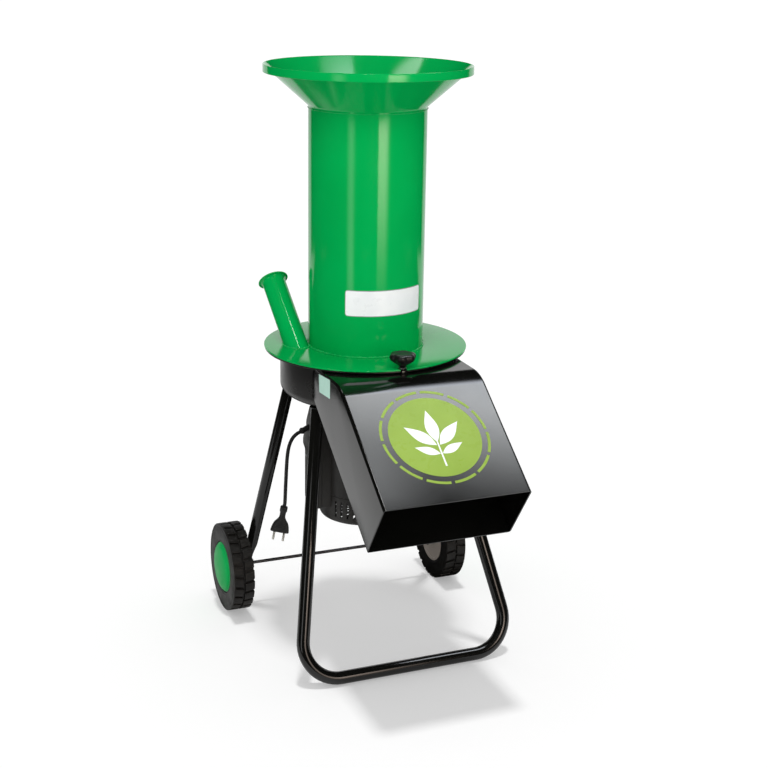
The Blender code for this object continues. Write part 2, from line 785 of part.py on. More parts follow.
def make_rear_leg(name, side):
    """A round tube whose lower end is pressed flat and drilled for the axle."""
    top = Vector((side * REAR_TOP_X, REAR_TOP_Y, BELOW_FLOOR))
    axle = Vector((side * REAR_FOOT_X, AXLE_Y, WHEEL_RADIUS))
    direction = (axle - top).normalized()
    across = Vector((1.0, 0.0, 0.0))
    full = (REAR_TUBE_RADIUS, REAR_TUBE_RADIUS)
    flat = (FLAT_END_WIDTH / 2, FLAT_END_THICKNESS / 2)
    flat_start = axle - direction * (FLAT_END_LENGTH / 2)
    taper_start = flat_start - direction * FLAT_TAPER_LENGTH
    end = axle + direction * (FLAT_END_LENGTH / 2)
    round_off = FLAT_END_WIDTH * 0.22
    bm = bmesh.new()

    def ring(centre, radii, level=None):
        return ring_across(bm, centre, direction, radii, across, SMALL_ROUND, level)

    mean = ((full[0] + flat[0]) / 2, (full[1] + flat[1]) / 2)
    outer = [
        ring(top, full, BELOW_FLOOR),
        ring(taper_start, full),
        ring((taper_start + flat_start) / 2, mean),
        ring(flat_start, flat),
        ring(end - direction * round_off, flat),
        ring(end, (flat[0] * 0.55, flat[1] * 0.9)),
    ]
    bore = REAR_TUBE_RADIUS - TUBE_WALL
    inner = [ring(top, (bore, bore), BELOW_FLOOR), ring(taper_start, (bore, bore))]
    inner_end = bm.verts.new(taper_start + direction * (FLAT_TAPER_LENGTH * 0.4))
    for rings in (outer, inner):
        for low, high in zip(rings, rings[1:]):
            bridge(bm, low, high)
    bridge(bm, outer[0], inner[0])
    bridge(bm, inner[-1], [inner_end])
    bm.faces.new(outer[-1])
    bmesh.ops.recalc_face_normals(bm, faces=bm.faces)
    leg = add_piece(name, bm, BLACK)
    hole_from = axle - Vector((0.02, 0.0, 0.0))
    cut(leg, rod(hole_from, hole_from + Vector((0.04, 0.0, 0.0)), AXLE_RADIUS + GAP))


def make_axle():
    end = WHEEL_INSIDE_X + WHEEL_WIDTH + AXLE_END
    tip = AXLE_RADIUS * 0.3
    profile = (
        (0.0, -end),
        (AXLE_RADIUS - tip, -end),
        (AXLE_RADIUS, -end + tip),
        (AXLE_RADIUS, end - tip),
        (AXLE_RADIUS - tip, end),
        (0.0, end),
    )
    axle = lie_along(revolve(profile, SMALL_ROUND), (0.0, AXLE_Y, WHEEL_RADIUS), (1.0, 0.0, 0.0))
    add_piece("wheel_axle", axle, STEEL)


def on_wheel(bm, side):
    """A mesh turned about Z, from z = 0 outwards, moved to one wheel's middle."""
    return lie_along(bm, (side * WHEEL_MID_X, AXLE_Y, WHEEL_RADIUS), (side, 0.0, 0.0))


def make_wheel(word, side):
    centre = (side * WHEEL_MID_X, AXLE_Y, WHEEL_RADIUS)
    half = WHEEL_WIDTH / 2
    shoulder = TYRE_SHOULDER
    groove = GROOVE_WIDTH / 2
    tyre = [
        (TYRE_BORE_RADIUS, -half + 0.002),
        (WHEEL_RADIUS - shoulder, -half),
        (WHEEL_RADIUS, -half + shoulder),
        (WHEEL_RADIUS, -groove),
        (WHEEL_RADIUS - GROOVE_DEPTH, 0.0),
        (WHEEL_RADIUS, groove),
        (WHEEL_RADIUS, half - shoulder),
        (WHEEL_RADIUS - shoulder, half),
        (TYRE_BORE_RADIUS, half - 0.002),
    ]
    add_piece(f"tyre_{word}", on_wheel(revolve(tyre, WHEEL_ROUND), side), RUBBER, centre)
    rim_radius = TYRE_BORE_RADIUS - GAP
    rim_mesh = revolve(rim_profile(rim_radius, half), WHEEL_ROUND)
    rim = add_piece(f"rim_{word}", on_wheel(rim_mesh, side), PLASTIC, centre)
    for k in range(RIM_RIBS):
        rib = block(
            (HUB_RADIUS - 0.002, rim_radius - RIM_WALL + 0.002),
            (-RIM_RIB_THICKNESS / 2, RIM_RIB_THICKNESS / 2),
            (-half + 0.005, half - 0.012),
        )
        join(rim, on_wheel(turn_z(rib, 2 * math.pi * k / RIM_RIBS), side))
    add_piece(f"hub_cap_{word}", on_wheel(revolve(cap_profile(half), WHEEL_ROUND), side), GREEN, centre)


def ring_turns(count):
    return [2 * math.pi * k / count for k in range(count)]


def rim_profile(radius, half):
    """Outer wall, web near the outer face, and hub, about the wheel's own axis."""
    web_low = half - 0.012 - RIM_WEB
    web_high = web_low + RIM_WEB
    bore = AXLE_RADIUS + RUNNING
    return [
        (bore, -half - HUB_INSIDE),
        (HUB_RADIUS, -half - HUB_INSIDE),
        (HUB_RADIUS, web_low),
        (radius - RIM_WALL, web_low),
        (radius - RIM_WALL, -half + RIM_INSET),
        (radius, -half + RIM_INSET),
        (radius, half - RIM_INSET),
        (radius - RIM_WALL, half - RIM_INSET),
        (radius - RIM_WALL, web_high),
        (HUB_RADIUS, web_high),
        (HUB_RADIUS, half - 0.002),
        (bore, half - 0.002),
    ]


def cap_profile(half):
    """A shallow dome seated on the rim's wall, inside the tyre's bore, and hollow behind."""
    seat = half - RIM_INSET + GAP
    steps = 4
    dome = []
    for k in range(steps + 1):
        angle = math.pi / 2 * k / steps
        dome.append((CAP_RADIUS * math.cos(angle), seat + CAP_EDGE + CAP_BULGE * math.sin(angle)))
    shrink = (CAP_RADIUS - CAP_WALL) / CAP_RADIUS
    inner = [(radius * shrink, height - CAP_WALL) for radius, height in reversed(dome[2:])]
    spigot = TYRE_BORE_RADIUS - RIM_WALL - 2 * GAP
    low = seat - CAP_SPIGOT
    skirt = [(spigot - CAP_WALL, low), (spigot, low), (spigot, seat)]
    return [(CAP_RADIUS, seat), *dome, *inner, *skirt]


def make_rotor_shaft():
    low = FAN_TOP - FAN_HEIGHT - 0.006
    top = ROTOR_TOP + GAP + NUT_HEIGHT + 0.0006
    chamfer = 0.001
    profile = (
        (0.0, low),
        (SHAFT_RADIUS, low),
        (SHAFT_RADIUS, top - chamfer),
        (SHAFT_RADIUS - chamfer, top),
        (0.0, top),
    )
    add_piece("rotor_shaft", revolve(profile, 20), STEEL)


def hammer_turns():
    return [2 * math.pi * k / HAMMER_COUNT for k in range(HAMMER_COUNT)]


def pin_rod(turn, low, high, radius):
    """An upright round bar at one hammer's place."""
    return turn_z(rod((HAMMER_PIN_CIRCLE, 0.0, low), (HAMMER_PIN_CIRCLE, 0.0, high), radius), turn)


def make_rotor_plate():
    bore = SHAFT_RADIUS + GAP
    profile = sleeve(bore, ROTOR_RADIUS, ROTOR_UNDER, ROTOR_TOP)
    plate = add_piece("rotor_plate", revolve(profile), STEEL)
    for turn in hammer_turns():
        paddle = block(
            (PADDLE_START, PADDLE_START + PADDLE_LENGTH),
            (-PADDLE_THICKNESS / 2, PADDLE_THICKNESS / 2),
            (ROTOR_UNDER - PADDLE_HEIGHT, ROTOR_UNDER + ROTOR_PLATE / 2),
        )
        join(plate, turn_z(paddle, turn + KNIFE_ANGLE))
    boss_low = ROTOR_UNDER - HAMMER_DROP + GAP
    turns = hammer_turns()
    bosses = [pin_rod(turn, boss_low, ROTOR_UNDER + 0.001, HAMMER_BOSS_RADIUS) for turn in turns]
    join(plate, merged(bosses))
    bore = HAMMER_PIN_RADIUS + GAP
    holes = [pin_rod(turn, boss_low - 0.01, ROTOR_TOP + 0.01, bore) for turn in turns]
    for turn in knife_turns():
        for radius in SCREW_RADII:
            hole = rod(
                (radius, SCREW_OFFSET, ROTOR_TOP - ROTOR_PLATE * 0.75),
                (radius, SCREW_OFFSET, ROTOR_TOP + 0.01),
                SCREW_RADIUS + GAP,
            )
            holes.append(turn_z(hole, turn))
    cut(plate, merged(holes))


def make_rotor_hub():
    bore = SHAFT_RADIUS + GAP
    top = ROTOR_UNDER - GAP
    profile = (
        (bore, HAMMER_FLANGE_UNDER),
        (HAMMER_FLANGE_RADIUS, HAMMER_FLANGE_UNDER),
        (HAMMER_FLANGE_RADIUS, HAMMER_FLANGE_TOP),
        (ROTOR_HUB_RADIUS, HAMMER_FLANGE_TOP),
        (ROTOR_HUB_RADIUS, top),
        (bore, top),
    )
    hub = add_piece("rotor_hub", revolve(profile), STEEL)
    boss_top = ROTOR_UNDER - HAMMER_DROP - HAMMER_THICKNESS - GAP
    turns = hammer_turns()
    bosses = [pin_rod(turn, HAMMER_FLANGE_TOP - 0.001, boss_top, HAMMER_BOSS_RADIUS) for turn in turns]
    join(hub, merged(bosses))
    bore = HAMMER_PIN_RADIUS + GAP
    holes = [pin_rod(turn, HAMMER_FLANGE_UNDER - 0.01, boss_top + 0.01, bore) for turn in turns]
    cut(hub, merged(holes))


def make_hammers():
    """Four swinging hammers, each on its own headed pin between the flange and the plate."""
    top = ROTOR_UNDER - HAMMER_DROP
    low = top - HAMMER_THICKNESS
    half = HAMMER_WIDTH / 2
    chamfer = 0.004
    outline = [
        *arc((0.0, 0.0), half, math.pi / 2, 3 * math.pi / 2, 10),
        (HAMMER_REACH - chamfer, -half),
        (HAMMER_REACH, -half + chamfer),
        (HAMMER_REACH, half - chamfer),
        (HAMMER_REACH - chamfer, half),
    ]
    head_low = HAMMER_FLANGE_UNDER - GAP - HAMMER_PIN_HEAD
    pin = (
        (0.0, head_low),
        (HAMMER_PIN_RADIUS * 1.5, head_low),
        (HAMMER_PIN_RADIUS * 1.5, head_low + HAMMER_PIN_HEAD),
        (HAMMER_PIN_RADIUS, head_low + HAMMER_PIN_HEAD),
        (HAMMER_PIN_RADIUS, ROTOR_TOP - GAP),
        (0.0, ROTOR_TOP - GAP),
    )
    on_circle = (HAMMER_PIN_CIRCLE, 0.0, 0.0)
    for number, turn in enumerate(hammer_turns(), 1):
        add_piece(f"hammer_pin_{number}", turn_z(shifted(revolve(pin, PIN_ROUND), on_circle), turn), STEEL)
        axis = Matrix.Rotation(turn, 3, "Z") @ Vector(on_circle)
        body = turn_z(shifted(prism(outline, low, top, "Z"), on_circle), turn)
        hammer = add_piece(f"hammer_{number}", body, BLADE, axis)
        cut(hammer, pin_rod(turn, low - 0.01, top + 0.01, HAMMER_PIN_RADIUS + HAMMER_PLAY))


def knife_turns():
    return (KNIFE_ANGLE, KNIFE_ANGLE + math.pi)


def make_knives():
    """Two chipping knives, each with its cutting edge ground on the leading side."""
    length, width, depth = KNIFE
    number = 0
    for word, turn in zip("ab", knife_turns()):
        half = width / 2
        section = (
            (-half, KNIFE_UNDER),
            (half - KNIFE_BEVEL, KNIFE_UNDER),
            (half, KNIFE_TOP - 0.0008),
            (half, KNIFE_TOP),
            (-half, KNIFE_TOP),
        )
        body = turn_z(prism(section, KNIFE_START, KNIFE_START + length), turn)
        knife = add_piece(f"chipping_knife_{word}", body, BLADE)
        sinks = []
        for radius in SCREW_RADII:
            number += 1
            spot = (radius, SCREW_OFFSET, 0.0)
            sink = screw_profile(GAP, KNIFE_UNDER - 0.01)
            sinks.append(turn_z(shifted(revolve(sink, PIN_ROUND), spot), turn))
            screw = revolve(screw_profile(0.0, ROTOR_TOP - ROTOR_PLATE * 0.7), PIN_ROUND)
            add_piece(f"knife_screw_{number}", turn_z(shifted(screw, spot), turn), STEEL)
        cut(knife, merged(sinks))


def screw_profile(grow, low):
    """A countersunk screw, its head flush with the knife's top, or its hole when grown."""
    head = KNIFE_TOP - GAP + (0.002 if grow else 0.0)
    radius = SCREW_HEAD_RADIUS + grow
    under = KNIFE_TOP - SCREW_HEAD_DEPTH
    return (
        (0.0, low),
        (SCREW_RADIUS + grow, low),
        (SCREW_RADIUS + grow, under - grow),
        (radius, KNIFE_TOP - GAP),
        (radius, head + 0.00001),
        (0.0, head + 0.00001),
    )


def shifted(bm, offset):
    bmesh.ops.translate(bm, vec=Vector(offset), verts=bm.verts)
    return bm


def make_rotor_nut():
    low = ROTOR_TOP + GAP
    high = low + NUT_HEIGHT
    outline = [(NUT_RADIUS * math.cos(t), NUT_RADIUS * math.sin(t)) for t in ring_turns(6)]
    nut = add_piece("rotor_nut", prism(outline, low, high, "Z"), STEEL)
    cut(nut, rod((0.0, 0.0, low - 0.01), (0.0, 0.0, high + 0.01), SHAFT_RADIUS + GAP, 24))


def make_bearing(name, low):
    rings = sleeve(SHAFT_RADIUS + RUNNING, BEARING_RADIUS, low, low + BEARING_HEIGHT)
    add_piece(name, revolve(rings, INNER_ROUND), STEEL)


def make_motor():
    bore = SHAFT_RADIUS + RUNNING
    top = BELOW_FLOOR
    plate = top - MOTOR_TOP_PLATE
    seat = BEARING_RADIUS + GAP
    collar = seat + SEAT_WALL
    inside = MOTOR_FRAME_RADIUS - MOTOR_FRAME_WALL
    frame = [
        (bore + 0.001, plate),
        (bore + 0.001, top),
        (MOTOR_FLANGE_RADIUS, top),
        (MOTOR_FLANGE_RADIUS, plate),
        (MOTOR_FRAME_RADIUS, plate),
        (MOTOR_FRAME_RADIUS, MOTOR_BOTTOM),
        (inside, MOTOR_BOTTOM),
        (inside, plate - 0.002),
        (collar, plate - 0.002),
        (collar, plate - BEARING_HEIGHT - GAP),
        (seat, plate - BEARING_HEIGHT - GAP),
        (seat, plate),
    ]
    add_piece("motor_frame", revolve(frame, INNER_ROUND), ALUMINIUM)
    make_bearing("bearing_upper", plate - GAP - BEARING_HEIGHT)
    shield = [
        (bore + 0.001, SHIELD_UNDER),
        (MOTOR_FRAME_RADIUS, SHIELD_UNDER),
        (MOTOR_FRAME_RADIUS, SHIELD_TOP),
        (collar, SHIELD_TOP),
        (collar, SHIELD_TOP + BEARING_HEIGHT),
        (seat, SHIELD_TOP + BEARING_HEIGHT),
        (seat, SHIELD_UNDER + SHIELD_FLOOR),
        (bore + 0.001, SHIELD_UNDER + SHIELD_FLOOR),
    ]
    add_piece("motor_lower_shield", revolve(shield, INNER_ROUND), ALUMINIUM)
    make_bearing("bearing_lower", SHIELD_UNDER + SHIELD_FLOOR + GAP)
    core_top = BELOW_FLOOR - STATOR_DROP
    core_low = core_top - STATOR_HEIGHT
    winding_in = STATOR_BORE + WINDING_INSET
    winding_out = inside - WINDING_INSET
    stator = [
        (STATOR_BORE, core_low),
        (winding_in, core_low),
        (winding_in, core_low - WINDING_HEIGHT),
        (winding_out, core_low - WINDING_HEIGHT),
        (winding_out, core_low),
        (inside - GAP, core_low),
        (inside - GAP, core_top),
        (winding_out, core_top),
        (winding_out, core_top + WINDING_HEIGHT),
        (winding_in, core_top + WINDING_HEIGHT),
        (winding_in, core_top),
        (STATOR_BORE, core_top),
    ]
    add_piece("motor_stator", revolve(stator, INNER_ROUND), COPPER)
    core_bore = SHAFT_RADIUS + GAP
    core_radius = STATOR_BORE - AIR_GAP
    core = sleeve(core_bore, core_radius, core_low, core_top)
    add_piece("motor_rotor_core", revolve(core, INNER_ROUND), STEEL)


def make_fan():
    bore = SHAFT_RADIUS + GAP
    low = FAN_TOP - FAN_HEIGHT
    back = FAN_TOP - 0.0025
    hub = bore + 0.006
    profile = (
        (bore, low),
        (hub, low),
        (hub, back),
        (FAN_RADIUS, back),
        (FAN_RADIUS, FAN_TOP),
        (bore, FAN_TOP),
    )
    fan = add_piece("cooling_fan", revolve(profile, INNER_ROUND), PLASTIC)
    for turn in ring_turns(FAN_BLADES):
        blade = block((hub - 0.002, FAN_RADIUS - 0.001), (-0.001, 0.001), (low + 0.002, FAN_TOP - 0.001))
        join(fan, turn_z(blade, turn))


def make_motor_cover():
    inside = COVER_RADIUS - COVER_WALL
    corner = COVER_CORNER
    outer = arc((COVER_RADIUS - corner, COVER_BOTTOM + corner), corner, -math.pi / 2, 0.0)
    inner = arc((COVER_RADIUS - corner, COVER_BOTTOM + corner), corner - COVER_WALL, 0.0, -math.pi / 2, 1)
    collar_low = COVER_TOP - COVER_COLLAR
    profile = [
        (0.0, COVER_BOTTOM),
        *outer,
        (COVER_RADIUS, COVER_TOP),
        (MOTOR_FRAME_RADIUS + GAP, COVER_TOP),
        (MOTOR_FRAME_RADIUS + GAP, collar_low),
        (inside, collar_low - 0.003),
        *inner,
        (0.0, COVER_BOTTOM + COVER_WALL),
    ]
    cover = add_piece("motor_cover", revolve(profile, slot_count()), PLASTIC)
    slots = []
    for turn in slot_turns():
        slot = block(
            (inside - 0.004, COVER_RADIUS + 0.004),
            (-SLOT_WIDTH / 2, SLOT_WIDTH / 2),
            (SLOT_LOW, SLOT_LOW + SLOT_HEIGHT),
        )
        slots.append(turn_z(slot, turn))
    cut(cover, merged(slots))


def slot_count():
    return int(2 * math.pi / SLOT_PITCH)


def slot_turns():
    """Slots at an even pitch all round, but for the stretch behind the switch box."""
    pitch = 2 * math.pi / slot_count()
    turns = [math.pi + pitch * (k + 0.5) for k in range(slot_count())]
    return [t for t in turns if SLOT_GAP_HALF < t - math.pi < 2 * math.pi - SLOT_GAP_HALF]


def box_outline(face, shoulder_face, top_face, inset):
    """The lid's side view in X-Z: flat face, bulge and sloping shoulder."""
    low = BOX_BOTTOM + inset
    return [
        (-face + inset, low),
        (-face + inset, BULGE_LOW),
        (-LID_FACE - LID_BULGE + inset, BULGE_LOW + 0.009),
        (-LID_FACE - LID_BULGE + inset, BULGE_HIGH),
        (-shoulder_face + inset, BULGE_HIGH + 0.015),
        (-shoulder_face + inset, BOX_SHOULDER - inset / 2),
        (-top_face, BOX_TOP - inset),
    ]


def make_switch_box():
    parting = -BOX_PARTING
    back = -(COVER_RADIUS * 0.6)
    body = block((parting, back), (BOX_Y_LOW, BOX_Y_HIGH), (BOX_BOTTOM, BOX_TOP))
    box = add_piece("switch_box", body, PLASTIC)
    pocket = block(
        (parting - 0.01, -BOX_BACK),
        (BOX_Y_LOW + BOX_WALL, BOX_Y_HIGH - BOX_WALL),
        (BOX_BOTTOM + BOX_WALL, BOX_TOP - BOX_WALL),
    )
    cut(box, pocket)
    reach = COVER_RADIUS + GAP
    high = BOX_TOP + 0.05
    cut(box, revolve([(0.0, 0.0), (reach, 0.0), (reach, high), (0.0, high)], LARGE_ROUND))
    shoulder = LID_FACE - LID_SHOULDER_DROP
    back_edge = [(parting - GAP, BOX_TOP), (parting - GAP, BOX_BOTTOM)]
    outer = [*box_outline(LID_FACE, shoulder, BOX_PARTING + LID_TOP, 0.0), *back_edge]
    lid = add_piece("switch_box_cover", prism(outer, BOX_Y_LOW, BOX_Y_HIGH, "Y"), PLASTIC)
    soften(lid, 0.0018)
    hollow = [
        *box_outline(LID_FACE, shoulder, BOX_PARTING - 0.002, BOX_WALL),
        (parting + 0.01, BOX_TOP - BOX_WALL),
        (parting + 0.01, BOX_BOTTOM + BOX_WALL),
    ]
    cut(lid, prism(hollow, BOX_Y_LOW + BOX_WALL, BOX_Y_HIGH - BOX_WALL, "Y"))
    half_y, half_z = ROCKER_SIZE[0] / 2 + ROCKER_CLEARANCE, ROCKER_SIZE[1] / 2 + ROCKER_CLEARANCE
    window = block(
        (-LID_FACE - 0.01, -LID_FACE + 0.02),
        (ROCKER_Y - half_y, ROCKER_Y + half_y),
        (ROCKER_Z - half_z, ROCKER_Z + half_z),
    )
    cut(lid, window)
    axis = gland_direction()
    cut(lid, rod(CORD_EXIT - axis * GLAND_LENGTH * 1.3, CORD_EXIT + axis * 0.01, GLAND_RADIUS + GAP))
    make_rocker()
    depth, wide, tall = CAPACITOR
    case = block(
        (-BOX_BACK - GAP - depth, -BOX_BACK - GAP),
        (BOX_Y_LOW + BOX_WALL + GAP, BOX_Y_LOW + BOX_WALL + GAP + wide),
        (CAPACITOR_LOW, CAPACITOR_LOW + tall),
    )
    capacitor = add_piece("start_capacitor", case, PLASTIC)
    soften(capacitor, 0.0015)


def make_rocker():
    """A rocker with its resting half pressed in; it turns about its middle, along Y."""
    half = ROCKER_SIZE[1] / 2
    pivot = (-(LID_FACE - ROCKER_PROUD), ROCKER_Y, ROCKER_Z)
    front = 0.0055
    tip = 0.0012
    outline = [
        (-front, 0.0),
        (-tip, half * 0.97),
        (tip, half * 0.97),
        (ROCKER_DEPTH * 0.5, half * 0.45),
        (ROCKER_DEPTH * 0.5, -half * 0.45),
        (tip, -half * 0.97),
        (-tip, -half * 0.97),
    ]
    bm = prism(outline, -ROCKER_SIZE[0] / 2, ROCKER_SIZE[0] / 2, "Y")
    bm.transform(Matrix.Translation(pivot) @ Matrix.Rotation(-ROCKER_TRAVEL / 2, 4, "Y"))
    add_piece("switch_rocker", bm, PLASTIC, pivot)


def gland_direction():
    return Vector((-math.cos(GLAND_TILT), 0.0, -math.sin(GLAND_TILT)))


def make_gland():
    axis = gland_direction()
    length = GLAND_LENGTH
    profile = (
        (0.0, 0.0),
        (GLAND_RADIUS, 0.0),
        (GLAND_RADIUS, length - GLAND_FLANGE - 0.001),
        (GLAND_RADIUS * 1.02, length - GLAND_FLANGE - 0.001),
        (GLAND_FLANGE_RADIUS * 0.86, length - GLAND_FLANGE * 0.4),
        (GLAND_FLANGE_RADIUS * 0.7, length),
        (0.0, length),
    )
    start = CORD_EXIT - axis * (length + GAP)
    add_piece("cable_gland", lie_along(revolve(profile, SMALL_ROUND), start, axis), PLASTIC)


def plug_axes():
    """Width, depth and downward axis of the hanging plug."""
    wide = Vector((math.cos(PLUG_FACING), math.sin(PLUG_FACING), 0.0))
    down = -math.sin(PLUG_TILT) * wide - math.cos(PLUG_TILT) * Vector((0.0, 0.0, 1.0))
    across = (wide - down * wide.dot(down)).normalized()
    return across, down.cross(across), down


def make_plug():
    """A flat two-pin plug: collar, neck and a body that widens to its face."""
    across, through, down = plug_axes()
    sections = (
        (0.0000, 0.0066, 0.0066),
        (0.0006, 0.0072, 0.0072),
        (0.0102, 0.0072, 0.0072),
        (0.0108, 0.0060, 0.0058),
        (0.0215, 0.0058, 0.0056),
        (0.0290, 0.0092, 0.0064),
        (0.0350, 0.0138, 0.0070),
        (0.0430, 0.0165, 0.0074),
        (0.0518, 0.0180, 0.0076),
        (0.0525, 0.0174, 0.0070),
    )
    sides = 16
    bm = bmesh.new()
    rings = []
    for along, wide, deep in sections:
        ring = []
        for turn in ring_turns(sides):
            squareness = 0.5 if wide > 0.010 else 1.0
            c, s = math.cos(turn), math.sin(turn)
            x = math.copysign(abs(c) ** squareness, c) * wide if wide > 0.010 else c * wide
            y = math.copysign(abs(s) ** squareness, s) * deep if wide > 0.010 else s * deep
            ring.append(bm.verts.new(PLUG_TOP + down * along + across * x + through * y))
        rings.append(ring)
    for low, high in zip(rings, rings[1:]):
        bridge(bm, low, high)
    bm.faces.new(rings[0])
    bm.faces.new(rings[-1])
    bmesh.ops.recalc_face_normals(bm, faces=bm.faces)
    add_piece("plug_body", bm, PLASTIC)
    face = PLUG_TOP + down * (sections[-1][0] + GAP)
    tip = PLUG_PIN_RADIUS * 0.5
    pin = (
        (0.0, 0.0),
        (PLUG_PIN_RADIUS, 0.0),
        (PLUG_PIN_RADIUS, PLUG_PIN_LENGTH - tip),
        (PLUG_PIN_RADIUS - tip, PLUG_PIN_LENGTH),
        (0.0, PLUG_PIN_LENGTH),
    )
    for word, side in (("left", -0.5), ("right", 0.5)):
        start = face + across * (side * PLUG_PIN_SPACING)
        add_piece(f"plug_pin_{word}", lie_along(revolve(pin, 12), start, down), STEEL)


def make_cord():
    """The hanging cord: a bevelled curve on points read from one smooth route."""
    exit_way = gland_direction()
    _, _, down = plug_axes()
    straight = 2 * CORD_RADIUS
    end = PLUG_TOP - down * GAP
    start = CORD_EXIT
    route = [start, start + exit_way * straight, *map(Vector, CORD_ROUTE), end - down * straight, end]
    middle = smooth_path(route, CORD_POINTS)
    curve = bpy.data.curves.new("power_cord", "CURVE")
    curve.dimensions = "3D"
    curve.bevel_depth = CORD_RADIUS
    curve.bevel_resolution = 3
    curve.use_fill_caps = True
    spline = curve.splines.new("POLY")
    spline.points.add(len(middle) - 1)
    for point, place in zip(spline.points, middle):
        point.co = (*place, 1.0)
    curve.materials.append(material(PLASTIC))
    cord = bpy.data.objects.new("power_cord", curve)
    cord.location = ROTOR_AXIS
    bpy.context.scene.collection.objects.link(cord)


def make_clamp():
    origin = (0.0, STUD_Y, DISC_TOP)
    washer_low = DISC_TOP + GAP
    washer_top = washer_low + WASHER_THICKNESS
    bore = STUD_RADIUS + GAP
    washer = revolve(sleeve(bore, WASHER_RADIUS, washer_low, washer_top), 24)
    add_piece("clamp_washer", shifted(washer, (0.0, STUD_Y, 0.0)), STEEL, origin)
    knob_low = washer_top + GAP
    knob_top = knob_low + KNOB_HEIGHT
    bore_top = knob_low + KNOB_HEIGHT * 0.55
    add_piece("clamp_knob", knob_mesh(knob_low, knob_top, bore_top, bore), PLASTIC, origin)
    stud_low = DISC_TOP - STUD_DEPTH
    stud = (
        (0.0, stud_low),
        (STUD_RADIUS - 0.001, stud_low),
        (STUD_RADIUS, stud_low + 0.001),
        (STUD_RADIUS, bore_top - GAP),
        (0.0, bore_top - GAP),
    )
    add_piece("clamp_stud", shifted(revolve(stud, SMALL_ROUND), (0.0, STUD_Y, 0.0)), STEEL, origin)
    low = CHUTE_TOP + GAP
    high = DISC_TOP - BRACKET_TOP
    outline = slot_outline(BRACKET_WIDTH, BRACKET_REACH)
    post = add_piece("clamp_bracket", prism(outline, low, high, "Z"), BLACK)
    cut(post, rod((0.0, STUD_Y, low - 0.01), (0.0, STUD_Y, high + 0.01), STUD_RADIUS + THREAD_PLAY))


def knob_mesh(low, high, bore_top, bore):
    """A lobed head on a tapered boss, bored from below for the stud."""
    tall = high - low
    levels = (
        (0.00, KNOB_NECK_RADIUS, 0.0),
        (0.16, KNOB_NECK_RADIUS * 1.55, 0.0),
        (0.40, KNOB_RADIUS * 0.74, 0.35),
        (0.62, KNOB_RADIUS * 0.99, 1.0),
        (0.80, KNOB_RADIUS, 1.0),
        (0.94, KNOB_RADIUS * 0.90, 0.9),
        (1.00, KNOB_RADIUS * 0.66, 0.4),
    )
    sides = 4 * KNOB_LOBES
    bm = bmesh.new()
    rings = []
    for share, radius, strength in levels:
        ring = []
        for turn in ring_turns(sides):
            waist = 1.0 - KNOB_LOBE_DEPTH * strength * (0.5 - 0.5 * math.cos(KNOB_LOBES * turn))
            reach = radius * waist
            place = (reach * math.cos(turn), STUD_Y + reach * math.sin(turn), low + tall * share)
            ring.append(bm.verts.new(place))
        rings.append(ring)
    for below, above in zip(rings, rings[1:]):
        bridge(bm, below, above)
    bm.faces.new(rings[-1])
    round_bore = [(bore * math.cos(t), STUD_Y + bore * math.sin(t)) for t in ring_turns(sides)]
    mouth = [bm.verts.new((*place, low)) for place in round_bore]
    end = [bm.verts.new((*place, bore_top)) for place in round_bore]
    bridge(bm, rings[0], mouth)
    bridge(bm, mouth, end)
    bm.faces.new(end)
    bmesh.ops.recalc_face_normals(bm, faces=bm.faces)
    return bm


def barrel(low, high):
    """A hinge knuckle between two places along X."""
    bore = HINGE_PIN_RADIUS + GAP
    length = high - low
    knuckle = revolve(sleeve(bore, HINGE_BARREL_RADIUS, 0.0, length), SMALL_ROUND)
    return lie_along(knuckle, (low, HINGE_Y, HINGE_Z), (1.0, 0.0, 0.0))


def make_hinge():
    centre = (0.0, HINGE_Y, HINGE_Z)
    half = HINGE_CENTRE_HALF
    leaf_low = DISC_TOP + GAP
    upper = add_piece("hinge_leaf_upper", barrel(-half, half), GREEN, centre)
    leaf = block(
        (-half, half),
        (HINGE_Y - HINGE_LEAF_LENGTH, HINGE_Y - HINGE_PIN_RADIUS - 0.0012),
        (leaf_low, leaf_low + HINGE_LEAF),
    )
    join(upper, leaf)
    tab_top = FLANGE_BOTTOM - GAP
    tab_low = tab_top - HINGE_LEAF
    lower_low = half + GAP
    foot_half = HINGE_BARREL_RADIUS - 0.001
    outer_y = HINGE_Y + HINGE_BARREL_RADIUS - 0.0005
    lower = add_piece("hinge_leaf_lower", barrel(lower_low, HINGE_HALF), BLACK, centre)
    join(lower, barrel(-HINGE_HALF, -lower_low))
    tab = block((-HINGE_HALF, HINGE_HALF), (CHAMBER_RADIUS + HINGE_TAB_CLEAR, outer_y), (tab_low, tab_top))
    join(lower, tab)
    for side in (-1, 1):
        span = sorted((side * lower_low, side * HINGE_HALF))
        foot_top = HINGE_Z - HINGE_PIN_RADIUS - 2 * GAP
        foot = block(span, (HINGE_Y - foot_half, HINGE_Y + foot_half), (tab_low + foot_half / 8, foot_top))
        join(lower, foot)
    end = HINGE_HALF + 0.0015
    pin = rod((-end, HINGE_Y, HINGE_Z), (end, HINGE_Y, HINGE_Z), HINGE_PIN_RADIUS, SMALL_ROUND)
    add_piece("hinge_pin", pin, STEEL, centre)


def main():
    clear_scene()
    make_disc()
    make_column()
    make_funnel()
    make_branch_tube()
    make_shear_bar()
    make_chamber_pan()
    make_chute()
    make_front_leg()
    for word, side in (("left", -1), ("right", 1)):
        make_rear_leg(f"rear_leg_{word}", side)
        make_wheel(word, side)
    make_axle()
    make_rotor_shaft()
    make_rotor_plate()
    make_rotor_hub()
    make_hammers()
    make_knives()
    make_rotor_nut()
    make_motor()
    make_fan()
    make_motor_cover()
    make_switch_box()
    make_gland()
    make_plug()
    make_cord()
    make_clamp()
    make_hinge()


